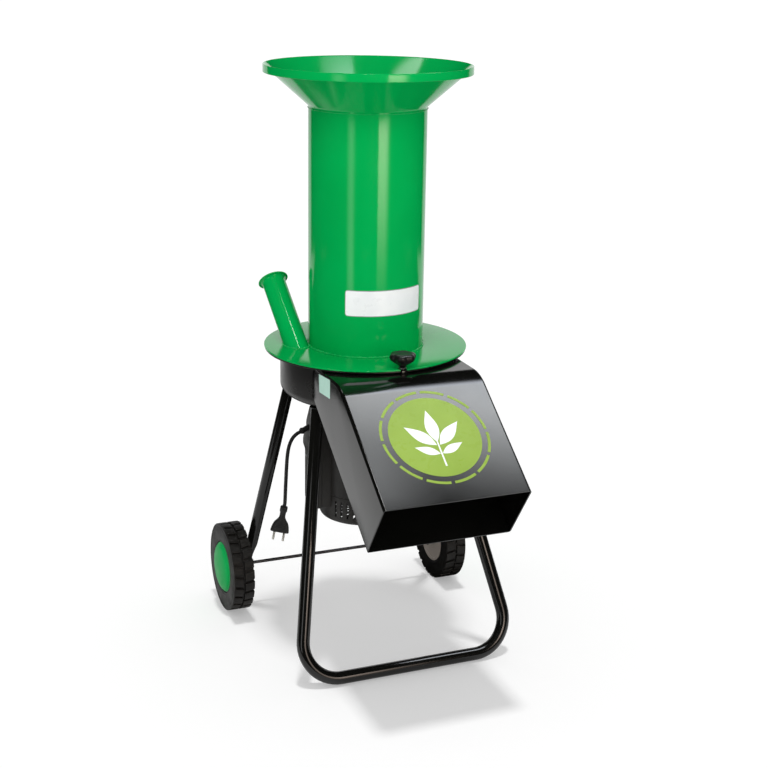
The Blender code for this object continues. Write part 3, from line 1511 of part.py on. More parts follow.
main()
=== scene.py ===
"""Garden shredder, dressed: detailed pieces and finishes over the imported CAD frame.

Metres, +Z up. Shapes are drawn about the rotor's upright axis, and mesh_of() sets
them back by AXIS into the frame of the CAD model.
"""

import math

import bmesh
import bpy
from mathutils import Matrix, Vector, noise


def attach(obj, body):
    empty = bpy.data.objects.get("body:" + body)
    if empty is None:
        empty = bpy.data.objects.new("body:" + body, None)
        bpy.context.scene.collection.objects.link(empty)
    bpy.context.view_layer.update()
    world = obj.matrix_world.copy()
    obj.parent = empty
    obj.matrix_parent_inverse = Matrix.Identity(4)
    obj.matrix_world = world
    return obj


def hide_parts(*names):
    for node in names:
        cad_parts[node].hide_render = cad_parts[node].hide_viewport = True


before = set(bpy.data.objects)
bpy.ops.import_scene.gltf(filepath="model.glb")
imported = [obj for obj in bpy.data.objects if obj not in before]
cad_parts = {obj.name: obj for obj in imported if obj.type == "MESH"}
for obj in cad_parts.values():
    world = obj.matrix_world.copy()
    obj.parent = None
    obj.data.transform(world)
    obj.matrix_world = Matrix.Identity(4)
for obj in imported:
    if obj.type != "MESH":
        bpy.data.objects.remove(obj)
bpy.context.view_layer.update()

AXIS = Vector((0.0, 0.106, 0.0))
ACROSS = Vector((1.0, 0.0, 0.0))
UP = Vector((0.0, 0.0, 1.0))
GAP = 0.0003
SIDES = (("left", -1), ("right", 1))
FINE = 160

# Hopper
DISC_TOP = 0.567
DISC_RADIUS = 0.190
DISC_THICKNESS = 0.0025
FEED_HOLE_RADIUS = 0.085
NOTCH_WIDTH = 0.013
STUD_Y = -0.1825
COLUMN_RADIUS = 0.1075
COLUMN_TOP = DISC_TOP + GAP + 0.437
HOPPER_WALL = 0.002
HOPPER_BORE = COLUMN_RADIUS - HOPPER_WALL
FUNNEL_RADIUS = 0.1885
FUNNEL_HEIGHT = 0.077
FUNNEL_NECK = 0.004
FUNNEL_BAND = 0.0145
BRANCH_RADIUS = 0.0221
BRANCH_REACH = COLUMN_RADIUS + BRANCH_RADIUS + 0.0019
BRANCH_BEARING = math.radians(167.71)
BRANCH_FOOT = Vector(
    (BRANCH_REACH * math.cos(BRANCH_BEARING), BRANCH_REACH * math.sin(BRANCH_BEARING), DISC_TOP)
)
BRANCH_LEAN = math.radians(45.5)
BRANCH_TURN = math.radians(-5.9)
BRANCH_LENGTH = 0.1455
BRANCH_LIP_RADIUS = 0.0288
BRANCH_LIP_THICKNESS = 0.003

# Cutting chamber and chute
CHAMBER_RADIUS = 0.160
CHAMBER_CORNER = 0.0165
SHEET = 0.002
SHAFT_HOLE_RADIUS = 0.030
FLANGE_RADIUS = 0.189
FLANGE_TOP = DISC_TOP - DISC_THICKNESS - GAP
FLANGE_BOTTOM = FLANGE_TOP - 0.003
FLOOR_UNDER = FLANGE_TOP - 0.0877
BELOW_FLOOR = FLOOR_UNDER - GAP
CHUTE_TOP = FLANGE_BOTTOM - 0.0022
CHUTE_HALF = 0.135
CHUTE_MEETS_DRUM = -math.sqrt(CHAMBER_RADIUS**2 - CHUTE_HALF**2)
CHUTE_CORNER_REACH = 0.2237
CHUTE_BEND_RADIUS = 0.080
CHUTE_SLOPE = math.radians(35.1)
CHUTE_SLOPE_LENGTH = 0.2595
CHUTE_FLOOR_SLOPE = math.radians(34.5)
MOUTH_DEPTH = 0.1269
CHUTE_EDGE_RADIUS = 0.005

# Legs, axle and wheels
FRONT_TUBE_RADIUS = 0.012
FRONT_FOOT = (0.2127, -0.2444)
FRONT_TOP = (0.1205, -0.0726)
FRONT_BEND_RADIUS = 0.0655
REAR_TUBE_RADIUS = 0.011
REAR_TOP = (0.130, 0.064)
REAR_FOOT_X = 0.196
FLAT_END = (0.030, 0.005, 0.034)
FLAT_TAPER = 0.035
AXLE_RADIUS = 0.0032
AXLE_Y = 0.1363
WHEEL_RADIUS = 0.0875
WHEEL_HALF = 0.021
WHEEL_MID_X = 0.227
TYRE_BORE_RADIUS = 0.0518
LUG_DEPTH = 0.0045
LUGS = 24
LUG_SHARE = 0.76
HUB_RADIUS = 0.013
RIM_INSET = 0.003
RIM_WALL = 0.005
CAP_RADIUS = 0.0498
CAP_EDGE = 0.0015
CAP_BULGE = 0.0115

# Motor and switch box
MOTOR_FRAME_RADIUS = 0.078
MOTOR_FLANGE_RADIUS = 0.092
MOTOR_FLANGE_UNDER = BELOW_FLOOR - 0.008
MOTOR_LENGTH = 0.176
COVER_RADIUS = 0.085
COVER_BOTTOM = 0.228
COVER_TOP = 0.432
COVER_WALL = 0.0025
COVER_CORNER = 0.007
SLOT_COUNT = 41
SLOT_LOW = 0.2395
SLOT_HEIGHT = 0.033
SLOT_GAP_HALF = math.radians(28)
BOX_Y = (-0.032, 0.035)
BOX_Z = (0.2565, 0.4415)
BOX_FACE = 0.108
BOX_PARTING = 0.097
BOX_WALL = 0.0025
ROCKER = Vector((-0.105, 0.0015, 0.308))
ROCKER_SIZE = (0.019, 0.026)
ROCKER_TRAVEL = math.radians(14)

# Cord, gland and plug
CORD_RADIUS = 0.0035
GLAND_RADIUS = 0.0052
GLAND_LENGTH = 0.022
GLAND_WAY = Vector((-math.cos(math.radians(25)), 0.0, -math.sin(math.radians(25))))
CORD_EXIT = Vector((-0.1222, 0.022, 0.3952))
PLUG_TOP = Vector((-0.1545, 0.022, 0.2478))
PLUG_FACING = math.radians(-21.9)
PLUG_TILT = math.radians(10.4)
PLUG_LENGTH = 0.0525
PIN_LENGTH = PIN_SPACING = 0.019
CORD_ROUTE = (
    (-0.1368, 0.0220, 0.3850),
    (-0.1437, 0.0220, 0.3710),
    (-0.1475, 0.0220, 0.3520),
    (-0.1495, 0.0220, 0.3275),
    (-0.1508, 0.0220, 0.3030),
    (-0.1520, 0.0220, 0.2790),
)

# Clamp and hinge
WASHER_TOP = DISC_TOP + GAP + 0.0016
KNOB_LOW = WASHER_TOP + GAP
KNOB_HEIGHT = 0.0265
KNOB_LOBES = 6
STUD_RADIUS = 0.004
STUD_PITCH = 0.00125
POST_WIDTH = 0.011
HINGE_Y = 0.1965
HINGE_Z = 0.5665
HINGE_RADIUS = 0.005
HINGE_HALF = 0.034
HINGE_CENTRE_HALF = 0.0175
LEAF = 0.0025

# Studio
CAMERA_PLACE = Vector((-0.9793, -2.3930, 1.3127))
CAMERA_TURN = math.atan2(CAMERA_PLACE.y - AXIS.y, CAMERA_PLACE.x)
CAMERA_FORWARD = Vector((0.3608, 0.8849, -0.2946)).normalized()
CAMERA_RIGHT = Vector((0.9276, -0.3732, 0.0151))
CAMERA_LENS = 69.29
ROOM_RADIUS = 3.3
ROOM_HALF = 3.2
CARD_HEIGHT = 2.6
WORLD_LEVEL = 0.56
SUN_LEVEL = 0.42
KEY_RADIANCE = 4.3
FILL_RADIANCE = 1.6
FLOOR_COLOUR = 0.74
FLOOR_GLOW = 0.321
FLOOR_GLOSS = 0.50
FLOOR_HALF = 30
WHITE = (1.0, 1.0, 1.0)


# ---------------------------------------------------------------- shapes


def ring_turns(count):
    return [2 * math.pi * k / count for k in range(count)]


def spoke(turn, radius=1.0, height=0.0):
    return Vector((radius * math.cos(turn), radius * math.sin(turn), height))


def arc(centre, radius, start, end, steps):
    """Points on an arc, both ends included."""
    turns = [start + (end - start) * k / steps for k in range(steps + 1)]
    return [(centre[0] + radius * math.cos(t), centre[1] + radius * math.sin(t)) for t in turns]


def eased(outline, amount, steps=3):
    """A closed outline with each corner rounded by at most this much; one number or one a corner."""
    amounts = amount if isinstance(amount, (list, tuple)) else [amount] * len(outline)
    made = []
    for k, (here, ease) in enumerate(zip(outline, amounts)):
        here = Vector(here)
        before = Vector(outline[k - 1]) - here
        after = Vector(outline[(k + 1) % len(outline)]) - here
        if ease <= 0:
            made.append(tuple(here))
            continue
        start = here + before.normalized() * min(ease, before.length * 0.45)
        end = here + after.normalized() * min(ease, after.length * 0.45)
        for step in range(steps + 1):
            t = step / steps
            made.append(tuple(start * (1 - t) ** 2 + here * (2 * t * (1 - t)) + end * t**2))
    return made


def bridge(bm, low, high):
    """Faces between two closed rings of equal count, or a ring and a single point."""
    count = max(len(low), len(high))
    for k in range(count if count > 1 else 0):
        after = (k + 1) % count
        lows = low if len(low) == 1 else (low[k], low[after])
        highs = high if len(high) == 1 else (high[after], high[k])
        bm.faces.new((*lows, *highs))


def skin(rings, closed=False):
    """A surface over rings of points, with both ends capped unless it is closed."""
    bm = bmesh.new()
    loops = [[bm.verts.new(point) for point in ring] for ring in rings]
    for low, high in zip(loops, loops[1:] + (loops[:1] if closed else [])):
        bridge(bm, low, high)
    for loop in () if closed else (loops[0], loops[-1]):
        bm.faces.new(loop)
    bmesh.ops.recalc_face_normals(bm, faces=bm.faces)
    return bm


def revolve(profile, segments=96):
    """A closed (radius, height) outline turned about Z."""
    turns = ring_turns(segments)
    return skin([[spoke(t, r, z) for t in (turns if r >= 1e-6 else (0.0,))] for r, z in profile], closed=True)


def turned(profile, ease, segments=96):
    """A revolved outline with its corners eased, but for those on the axis."""
    return revolve(eased(profile, [0.0 if radius < 1e-6 else ease for radius, _ in profile]), segments)


def wall(inner, outer, low, high):
    """The section of a plain ring, or of a disc where inner is 0, as (radius, height)."""
    return [(inner, low), (outer, low), (outer, high), (inner, high)]


def prism(outline, low, high, along="X"):
    """A flat outline pushed along an axis; its points are the other two axes in order."""
    place = {
        "X": lambda a, b, c: (c, a, b),
        "Y": lambda a, b, c: (a, c, b),
        "Z": lambda a, b, c: (a, b, c),
    }[along]
    return skin([[place(a, b, c) for a, b in outline] for c in (low, high)])


def block(x, y, z):
    """A box from its three (low, high) spans."""
    return prism(((y[0], z[0]), (y[1], z[0]), (y[1], z[1]), (y[0], z[1])), x[0], x[1])


def rounded(bm, edges, width, segments):
    bmesh.ops.bevel(
        bm, geom=edges, offset=width, segments=segments, profile=0.5, affect="EDGES", clamp_overlap=True
    )
    return bm


def bevelled(bm, width, segments=2, over=30):
    """Rounds every edge sharper than the given angle."""
    edges = [e for e in bm.edges if e.is_manifold and e.calc_face_angle() > math.radians(over)]
    return rounded(bm, edges, width, segments)


def moved(bm, offset):
    bmesh.ops.translate(bm, vec=Vector(offset), verts=bm.verts)
    return bm


def spun(bm, angle):
    bm.transform(Matrix.Rotation(angle, 4, "Z"))
    return bm


def laid(bm, start, direction):
    """Turns a mesh made about Z, from z = 0, onto a line in space."""
    turn = Vector(direction).to_track_quat("Z", "Y").to_matrix().to_4x4()
    bm.transform(Matrix.Translation(Vector(start)) @ turn)
    return bm


def rod(start, end, radius, segments=32, ease=0.0):
    span = Vector(end) - Vector(start)
    return laid(turned(wall(0.0, radius, 0.0, span.length), ease, segments), start, span)


def merged(meshes):
    """Several meshes as the islands of one."""
    whole = bmesh.new()
    for bm in meshes:
        copy = bpy.data.meshes.new("island")
        bm.to_mesh(copy)
        bm.free()
        whole.from_mesh(copy)
        bpy.data.meshes.remove(copy)
    return whole


def smooth_path(points, count):
    """Evenly spaced points on a smooth curve through the given ones."""
    points = [Vector(point) for point in points]
    ghost = [points[0] * 2 - points[1], *points, points[-1] * 2 - points[-2]]
    dense = []
    for a, b, c, d in zip(ghost, ghost[1:], ghost[2:], ghost[3:]):
        for step in range(12):
            t = step / 12
            bend = (2 * a - 5 * b + 4 * c - d) * t**2
            twist = (3 * b - a - 3 * c + d) * t**3
            dense.append(0.5 * (2 * b + (c - a) * t + bend + twist))
    dense.append(points[-1])
    lengths = [0.0]
    for a, b in zip(dense, dense[1:]):
        lengths.append(lengths[-1] + (b - a).length)
    path = []
    for k in range(count):
        want = lengths[-1] * k / (count - 1)
        at = next(i for i in range(1, len(lengths)) if lengths[i] >= want - 1e-9)
        share = (want - lengths[at - 1]) / (lengths[at] - lengths[at - 1])
        path.append(dense[at - 1].lerp(dense[at], share))
    return path


def bent_path(a, corner, b, radius, steps=14):
    """Points from a to b with a round bend of the given radius near the corner."""
    to_a, to_b = (a - corner).normalized(), (b - corner).normalized()
    half = to_a.angle(to_b) / 2
    middle = corner + (to_a + to_b).normalized() * (radius / math.sin(half))
    start, end = (corner + way * (radius / math.tan(half)) - middle for way in (to_a, to_b))
    sweep = math.pi - 2 * half
    points = []
    for k in range(steps + 1):
        share = k / steps
        part = math.sin((1 - share) * sweep) * start + math.sin(share * sweep) * end
        points.append(middle + part / math.sin(sweep))
    return points


def oval(centre, direction, radii, reference, sides, level=None):
    """An oval ring square to a direction, or cut level at a height."""
    side = reference.cross(direction).normalized()
    lift = direction.cross(side).normalized()
    ring = []
    for turn in ring_turns(sides):
        point = centre + radii[0] * math.cos(turn) * side + radii[1] * math.sin(turn) * lift
        if level is not None:
            point = point + direction * ((level - point.z) / direction.z)
        ring.append(point)
    return ring


def tube(path, radius, reference, sides, closed=False, level=None):
    """A round bar along a path, its ends cut level if so asked; radius is one number or one a point."""
    radii = radius if isinstance(radius, (list, tuple)) else [radius] * len(path)
    rings = []
    last = len(path) - 1
    for k, point in enumerate(path):
        before = path[k - 1] if closed or k else path[0]
        after = path[(k + 1) % len(path)] if closed or k < last else path[last]
        cut = level if k in (0, last) else None
        rings.append(oval(point, (after - before).normalized(), (radii[k],) * 2, reference, sides, cut))
    return skin(rings, closed)


def weld_bead(path, radius, seed, reference=UP, closed=True):
    """A ragged run of weld: overlapping ripples with small lumps."""
    points, radii = [], []
    for k, point in enumerate(path):
        wander = noise.noise(point * 180 + Vector((seed, 0, 0)))
        lump = max(0.0, noise.noise(point * 420 + Vector((seed + 7, 3, 0))) - 0.25)
        ripple = 0.12 * abs(math.sin(k * 1.3))
        radii.append(radius * (0.85 + 0.45 * wander + ripple + 1.5 * lump))
        points.append(point + UP * (radius * 0.35 * wander))
    return tube(points, radii, reference, 10, closed)


# ---------------------------------------------------------------- finishes


def rgb(red, green, blue):
    """A colour given as it shows on a screen."""
    values = [c / 255 for c in (red, green, blue)]
    return (*[c / 12.92 if c <= 0.04045 else ((c + 0.055) / 1.055) ** 2.4 for c in values], 1.0)


def add_node(tree, kind, inputs=(), **settings):
    """A shader node; each input is a value or a socket to link."""
    made = tree.nodes.new("ShaderNode" + kind)
    for key, value in settings.items():
        setattr(made, key, value)
    for key, value in dict(inputs).items():
        if isinstance(value, bpy.types.NodeSocket):
            tree.links.new(value, made.inputs[key])
        else:
            made.inputs[key].default_value = value
    return made


def add_math(tree, operation, a, b=0.0):
    return add_node(tree, "Math", {0: a, 1: b}, operation=operation).outputs[0]


def add_range(tree, value, low, high, start, end, **settings):
    inputs = {"Value": value, "From Min": start, "From Max": end, "To Min": low, "To Max": high}
    return add_node(tree, "MapRange", inputs, **settings).outputs["Result"]


class Look:
    """A Principled material, with short ways to put nodes before its sockets."""

    def __init__(self, name, roughness, metallic=0.0, specular=0.5):
        self.material = bpy.data.materials.new(name)
        self.material.use_nodes = True
        self.tree = self.material.node_tree
        self.shader = self.tree.nodes["Principled BSDF"]
        self.shader.inputs["Roughness"].default_value = roughness
        self.shader.inputs["Metallic"].default_value = metallic
        self.shader.inputs["Specular IOR Level"].default_value = specular
        self.height = None
        self.place = self.node("TexCoord").outputs["Object"]

    def node(self, kind, inputs=(), **settings):
        return add_node(self.tree, kind, inputs, **settings)

    def math(self, operation, a, b=0.0):
        return add_math(self.tree, operation, a, b)

    def span(self, value, low, high, start=0.3, end=0.7):
        return add_range(self.tree, value, low, high, start, end)

    def noise(self, scale, detail=3.0, stretch=None, roughness=0.55):
        place = self.place
        if stretch:
            place = self.node("Mapping", {"Vector": place, "Scale": stretch}).outputs[0]
        inputs = {"Vector": place, "Scale": scale, "Detail": detail, "Roughness": roughness}
        return self.node("TexNoise", inputs).outputs["Fac"]

    def into(self, socket, value):
        self.tree.links.new(value, self.shader.inputs[socket])
        return self

    def painted(self, value, *stops, steps=False):
        """Colour by a value, from stop to stop."""
        made = self.node("ValToRGB", {"Fac": value})
        band = made.color_ramp
        band.interpolation = "CONSTANT" if steps else "LINEAR"
        while len(band.elements) < len(stops):
            band.elements.new(0.5)
        for element, (position, colour) in zip(band.elements, stops):
            element.position = position
            element.color = colour
        self.colour = made.outputs["Color"]
        return self.into("Base Color", self.colour)

    def mottled(self, scale, low, high):
        """Colour that drifts between a darker and a paler tint."""
        self.shader.inputs["Base Color"].default_value = low
        return self.painted(self.noise(scale), (0.34, low), (0.66, high))

    def over(self, share, colour):
        """Another colour where share is high."""
        self.colour = self.node("Mix", {0: share, 6: self.colour, 7: colour}, data_type="RGBA").outputs[2]
        return self.into("Base Color", self.colour)

    def edge_wear_and_highlight(self, radius, share, colour):
        """Another colour on edges and corners, none on flats: rubbed wear on bare metal, and a painted highlight on
        paint, plastic and rubber.
        """
        true = self.node("NewGeometry").outputs["Normal"]
        round_off = self.node("Bevel", {"Radius": radius}, samples=4).outputs["Normal"]
        dot = self.node("VectorMath", {0: true, 1: round_off}, operation="DOT_PRODUCT").outputs["Value"]
        edges = self.span(self.math("SUBTRACT", 1.0, dot), 0.0, 1.0, 0.02, 0.30)
        return self.over(self.math("MULTIPLY", edges, share), colour)

    def stained(self, scale, detail, share, start, end, colour, roughness=0.55):
        """Another colour in the peaks of a noise."""
        spots = self.noise(scale, detail, roughness=roughness)
        return self.over(self.span(spots, 0.0, share, start, end), colour)

    def rough(self, low, high, scale):
        return self.into("Roughness", self.span(self.noise(scale, 4.0), low, high))

    def relief(self, value, strength, distance):
        inputs = {"Height": value, "Strength": strength, "Distance": distance}
        if self.height is not None:
            inputs["Normal"] = self.height
        self.height = self.node("Bump", inputs).outputs["Normal"]
        return self.into("Normal", self.height)


def enamel(name, low, high, roughness, peel, specular, *edge_highlight):
    """Sprayed gloss paint: slow drift of tint, orange peel, and a paler tint on its edges, a painted highlight."""
    look = Look(name, roughness, specular=specular)
    look.mottled(5.0, low, high)
    look.rough(roughness * 0.75, roughness * 1.35, 12.0)
    look.relief(look.noise(260.0, 2.0), peel, 0.0004)
    return look.edge_wear_and_highlight(*edge_highlight) if edge_highlight else look


def moulded(name, low, high, roughness, grain, edge, grain_scale=900.0, specular=0.5):
    """Moulded plastic or rubber with a fine spark-eroded grain."""
    look = Look(name, roughness, specular=specular)
    look.mottled(9.0, low, high)
    look.rough(roughness * 0.85, roughness * 1.15, 40.0)
    look.relief(look.noise(grain_scale, 2.0), grain, 0.0003)
    look.relief(look.noise(30.0, 2.0), 0.05, 0.001)
    # The edge colour, paler than the plastic or rubber, is a painted highlight on its edges and corners.
    return look.edge_wear_and_highlight(0.0010, 0.4, edge)


def metal(name, low, high, roughness, brush, stretch=(1, 1, 1), edge=None):
    """Bare or plated metal with fine lines of its making."""
    look = Look(name, roughness, 1.0)
    look.mottled(14.0, low, high)
    lines = look.noise(400.0, 4.0, stretch)
    look.into("Roughness", look.span(lines, roughness * 0.7, roughness * 1.4))
    look.relief(lines, brush, 0.0002)
    return look.edge_wear_and_highlight(0.0008, 0.6, edge) if edge else look


def iron(name):
    """A laminated core between two copper windings, told apart by their height."""
    look = Look(name, 0.5, 0.8)
    height = look.node("SeparateXYZ", {0: look.place}).outputs["Z"]
    copper, core = rgb(150, 78, 40), rgb(96, 95, 92)
    within = look.span(height, 0.0, 1.0, 0.3352, 0.4252)
    look.painted(within, (0.0, copper), (0.001, core), (0.999, copper), steps=True)
    return look.relief(look.math("SINE", look.math("MULTIPLY", height, 9000.0)), 0.3, 0.0003)


def printed(name, low, high, scale, roughness, gloss=None, specular=0.5):
    """A print or sticker, a little uneven."""
    look = Look(name, roughness, specular=specular)
    look.mottled(scale, low, high)
    if gloss:
        look.rough(*gloss, 60.0)
    return look.relief(look.noise(700.0, 2.0), 0.06, 0.0002)


# Each finish: the record's slot, or None for its body's paint, then its maker and what that takes.
# The last colour of a paint, plastic or rubber finish is its paler edge tint, a painted highlight; on a metal it is
# rubbed wear.
FINISHES = {
    "green": (
        "green_paint", enamel, rgb(0, 164, 76), rgb(1, 172, 82), 0.10, 0.05, 0.35, 0.0012, 0.35, rgb(96, 205, 132)
    ),
    "weld_green": ("green_paint", enamel, rgb(0, 162, 76), rgb(24, 190, 96), 0.26, 0.1, 0.3),
    "black": (
        "black_paint", enamel, rgb(11, 11, 10), rgb(17, 17, 15), 0.12, 0.05, 0.5, 0.0010, 0.4, rgb(52, 52, 54)
    ),
    "pan": (
        "chamber_paint", enamel, rgb(19, 18, 16), rgb(27, 25, 22), 0.26, 0.10, 0.5, 0.0012, 0.5, rgb(92, 88, 84)
    ),
    "cover": ("cover_plastic", moulded, rgb(33, 31, 28), rgb(41, 39, 35), 0.42, 0.25, rgb(84, 80, 74)),
    "knob": ("knob_plastic", moulded, rgb(17, 17, 17), rgb(24, 24, 23), 0.34, 0.15, rgb(60, 59, 58)),
    "rim": ("rim_plastic", moulded, rgb(28, 27, 25), rgb(38, 36, 34), 0.50, 0.25, rgb(70, 68, 65)),
    "plate_grey": (
        "rim_plastic", moulded, rgb(150, 140, 131), rgb(164, 154, 145), 0.50, 0.12, rgb(186, 178, 170)
    ),
    "cap": ("cap_green", moulded, rgb(3, 170, 82), rgb(10, 180, 90), 0.42, 0.06, rgb(80, 208, 132), 900.0, 0.12),
    "rubber": ("tyre", moulded, rgb(17, 15, 13), rgb(26, 24, 20), 0.55, 0.5, rgb(56, 53, 48), 600.0, 0.32),
    "cord": ("cord_rubber", moulded, rgb(24, 24, 23), rgb(33, 32, 31), 0.44, 0.12, rgb(62, 60, 58)),
    "pin": ("plated_pin", metal, rgb(196, 190, 178), rgb(226, 222, 212), 0.22, 0.1, (1, 1, 0.05)),
    "zinc": (
        "zinc_steel", metal, rgb(150, 152, 156), rgb(182, 184, 188), 0.34, 0.12, (1, 1, 1), rgb(214, 216, 220)
    ),
    "axle": (
        "zinc_steel", metal, rgb(58, 58, 60), rgb(84, 84, 86), 0.34, 0.12, (0.03, 1, 1), rgb(132, 132, 134)
    ),
    "alloy": (
        "motor_alloy", metal, rgb(96, 97, 99), rgb(122, 123, 125), 0.48, 0.1, (1, 1, 1), rgb(170, 171, 173)
    ),
    "rotor": (None, metal, rgb(120, 120, 122), rgb(150, 150, 152), 0.36, 0.15, (1, 1, 1), rgb(196, 196, 198)),
    "blade": (None, metal, rgb(150, 152, 156), rgb(188, 190, 194), 0.24, 0.2, (1, 14, 1), rgb(232, 233, 235)),
    "iron": (None, iron),
    "label_white": (None, printed, rgb(241, 243, 244), rgb(249, 250, 250), 18.0, 0.30, (0.24, 0.38)),
    "label_grey": (None, printed, rgb(142, 146, 150), rgb(160, 164, 168), 30.0, 0.32),
    "label_mint": (None, printed, rgb(187, 234, 215), rgb(197, 242, 225), 30.0, 0.36),
    "lime": (None, printed, rgb(141, 171, 57), rgb(149, 179, 64), 14.0, 0.34, (0.24, 0.36), 0.15),
}

# Stains, scuffs and specks: scale, detail, most, from, to, colour and a rougher noise.
STAINS = {
    "green": (1400.0, 1.0, 0.25, 0.70, 0.80, rgb(60, 190, 110)),
    "rubber": (60.0, 5.0, 0.4, 0.56, 0.78, rgb(46, 42, 37), 0.7),
    "rotor": (35.0, 6.0, 0.4, 0.55, 0.8, rgb(92, 84, 76)),
    "blade": (26.0, 6.0, 0.3, 0.60, 0.85, rgb(118, 108, 98)),
    "iron": (90.0, 4.0, 0.4, 0.3, 0.7, rgb(60, 52, 46)),
}

# Lumps of welds and castings: scale, detail and strength.
LUMPS = {"weld_green": (520.0, 4.0, 0.3), "alloy": (240.0, 5.0, 0.35)}


def material_of(name):
    """Each finish is made once."""
    if name not in bpy.data.materials:
        _, make, *values = FINISHES[name]
        look = make(name, *values)
        if name in STAINS:
            look.stained(*STAINS[name])
        if name in LUMPS:
            scale, detail, strength = LUMPS[name]
            look.relief(look.noise(scale, detail), strength, 0.0005)
    return bpy.data.materials[name]


# ---------------------------------------------------------------- pieces


def added(name, data):
    obj = bpy.data.objects.new(name, data)
    bpy.context.scene.collection.objects.link(obj)
    return obj


def mesh_of(name, bm, shift=AXIS):
    """A mesh that was drawn about the rotor's axis, in the frame of the CAD model."""
    mesh = bpy.data.meshes.new(name)
    bm.to_mesh(mesh)
    bm.free()
    mesh.transform(Matrix.Translation(shift))
    return mesh


def shaded(mesh, sharp):
    mesh.shade_smooth()
    mesh.set_sharp_from_angle(angle=math.radians(sharp))


def dressed(obj, look, body, *nodes):
    """Gives a new object its finish and body, and the CAD nodes that it stands for."""
    obj.data.materials.append(material_of(look))
    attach(obj, body)
    if nodes:
        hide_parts(*nodes)
    return obj


def piece(name, bm, look, body, *nodes, sharp=38):
    """A finished object from a mesh drawn about the rotor's axis."""
    mesh = mesh_of(name, bm)
    shaded(mesh, sharp)
    return dressed(added(name, mesh), look, body, *nodes)


def carve(obj, *tools, operation="DIFFERENCE", sharp=38):
    """Cuts from, or joins to, a piece, and keeps only the result."""
    made = [added("tool", mesh_of("tool", bm)) for bm in tools]
    for tool in made:
        modifier = obj.modifiers.new("carve", "BOOLEAN")
        modifier.operation = operation
        modifier.object = tool
    graph = bpy.context.evaluated_depsgraph_get()
    result = bpy.data.meshes.new_from_object(obj.evaluated_get(graph), depsgraph=graph)
    obj.modifiers.clear()
    old, obj.data = obj.data, result
    result.name = obj.name
    bpy.data.meshes.remove(old)
    for tool in made:
        mesh = tool.data
        bpy.data.objects.remove(tool)
        bpy.data.meshes.remove(mesh)
    shaded(result, sharp)
    return obj


def hex_bolt(across, height, washer, thick=0.0012):
    """A chamfered hexagon head on its washer, seated on Z = 0."""
    ring = turned(wall(0.0, washer, 0.0, thick), 0.0003, 24)
    radius = across / 2 / math.cos(math.pi / 6)
    rings = []
    for share, reach in ((0.0, 1.0), (0.82, 1.0), (1.0, 0.9)):
        rings.append([spoke(turn, reach * radius, thick + height * share) for turn in ring_turns(6)])
    return merged([ring, bevelled(skin(rings), 0.0002)])


def screw_head(radius, depth):
    """A domed screw head, its seat on Z = 0."""
    dome = [(radius * a, depth * (0.35 + 0.65 * b)) for a, b in arc((0.0, 0.0), 1.0, 0.0, math.pi / 2, 6)]
    return revolve([(0.0, 0.0), (radius, 0.0), *dome[:-1], (0.0, depth)], 24)


def make_camera():
    forward = CAMERA_FORWARD
    right = (CAMERA_RIGHT - forward * CAMERA_RIGHT.dot(forward)).normalized()
    data = bpy.data.cameras.new("camera")
    data.lens = CAMERA_LENS
    data.sensor_width = 36.0
    data.clip_start = 0.05
    data.clip_end = 60.0
    camera = added("camera", data)
    turn = Matrix((right, right.cross(forward), -forward)).transposed().to_4x4()
    camera.matrix_world = Matrix.Translation(CAMERA_PLACE) @ turn
    bpy.context.scene.camera = camera


# ---------------------------------------------------------------- cord and plug


def plug_axes():
    """Width, depth and downward axis of the hanging plug."""
    wide = spoke(PLUG_FACING)
    down = -math.sin(PLUG_TILT) * wide - math.cos(PLUG_TILT) * UP
    across = (wide - down * wide.dot(down)).normalized()
    return across, down.cross(across), down


def plug_ring(along, wide, deep, square, sides=48):
    across, through, down = plug_axes()
    ring = []
    for turn in ring_turns(sides):
        c, s = math.cos(turn), math.sin(turn)
        x = math.copysign(abs(c) ** square, c) * wide
        y = math.copysign(abs(s) ** square, s) * deep
        ring.append(PLUG_TOP + down * along + across * x + through * y)
    return ring


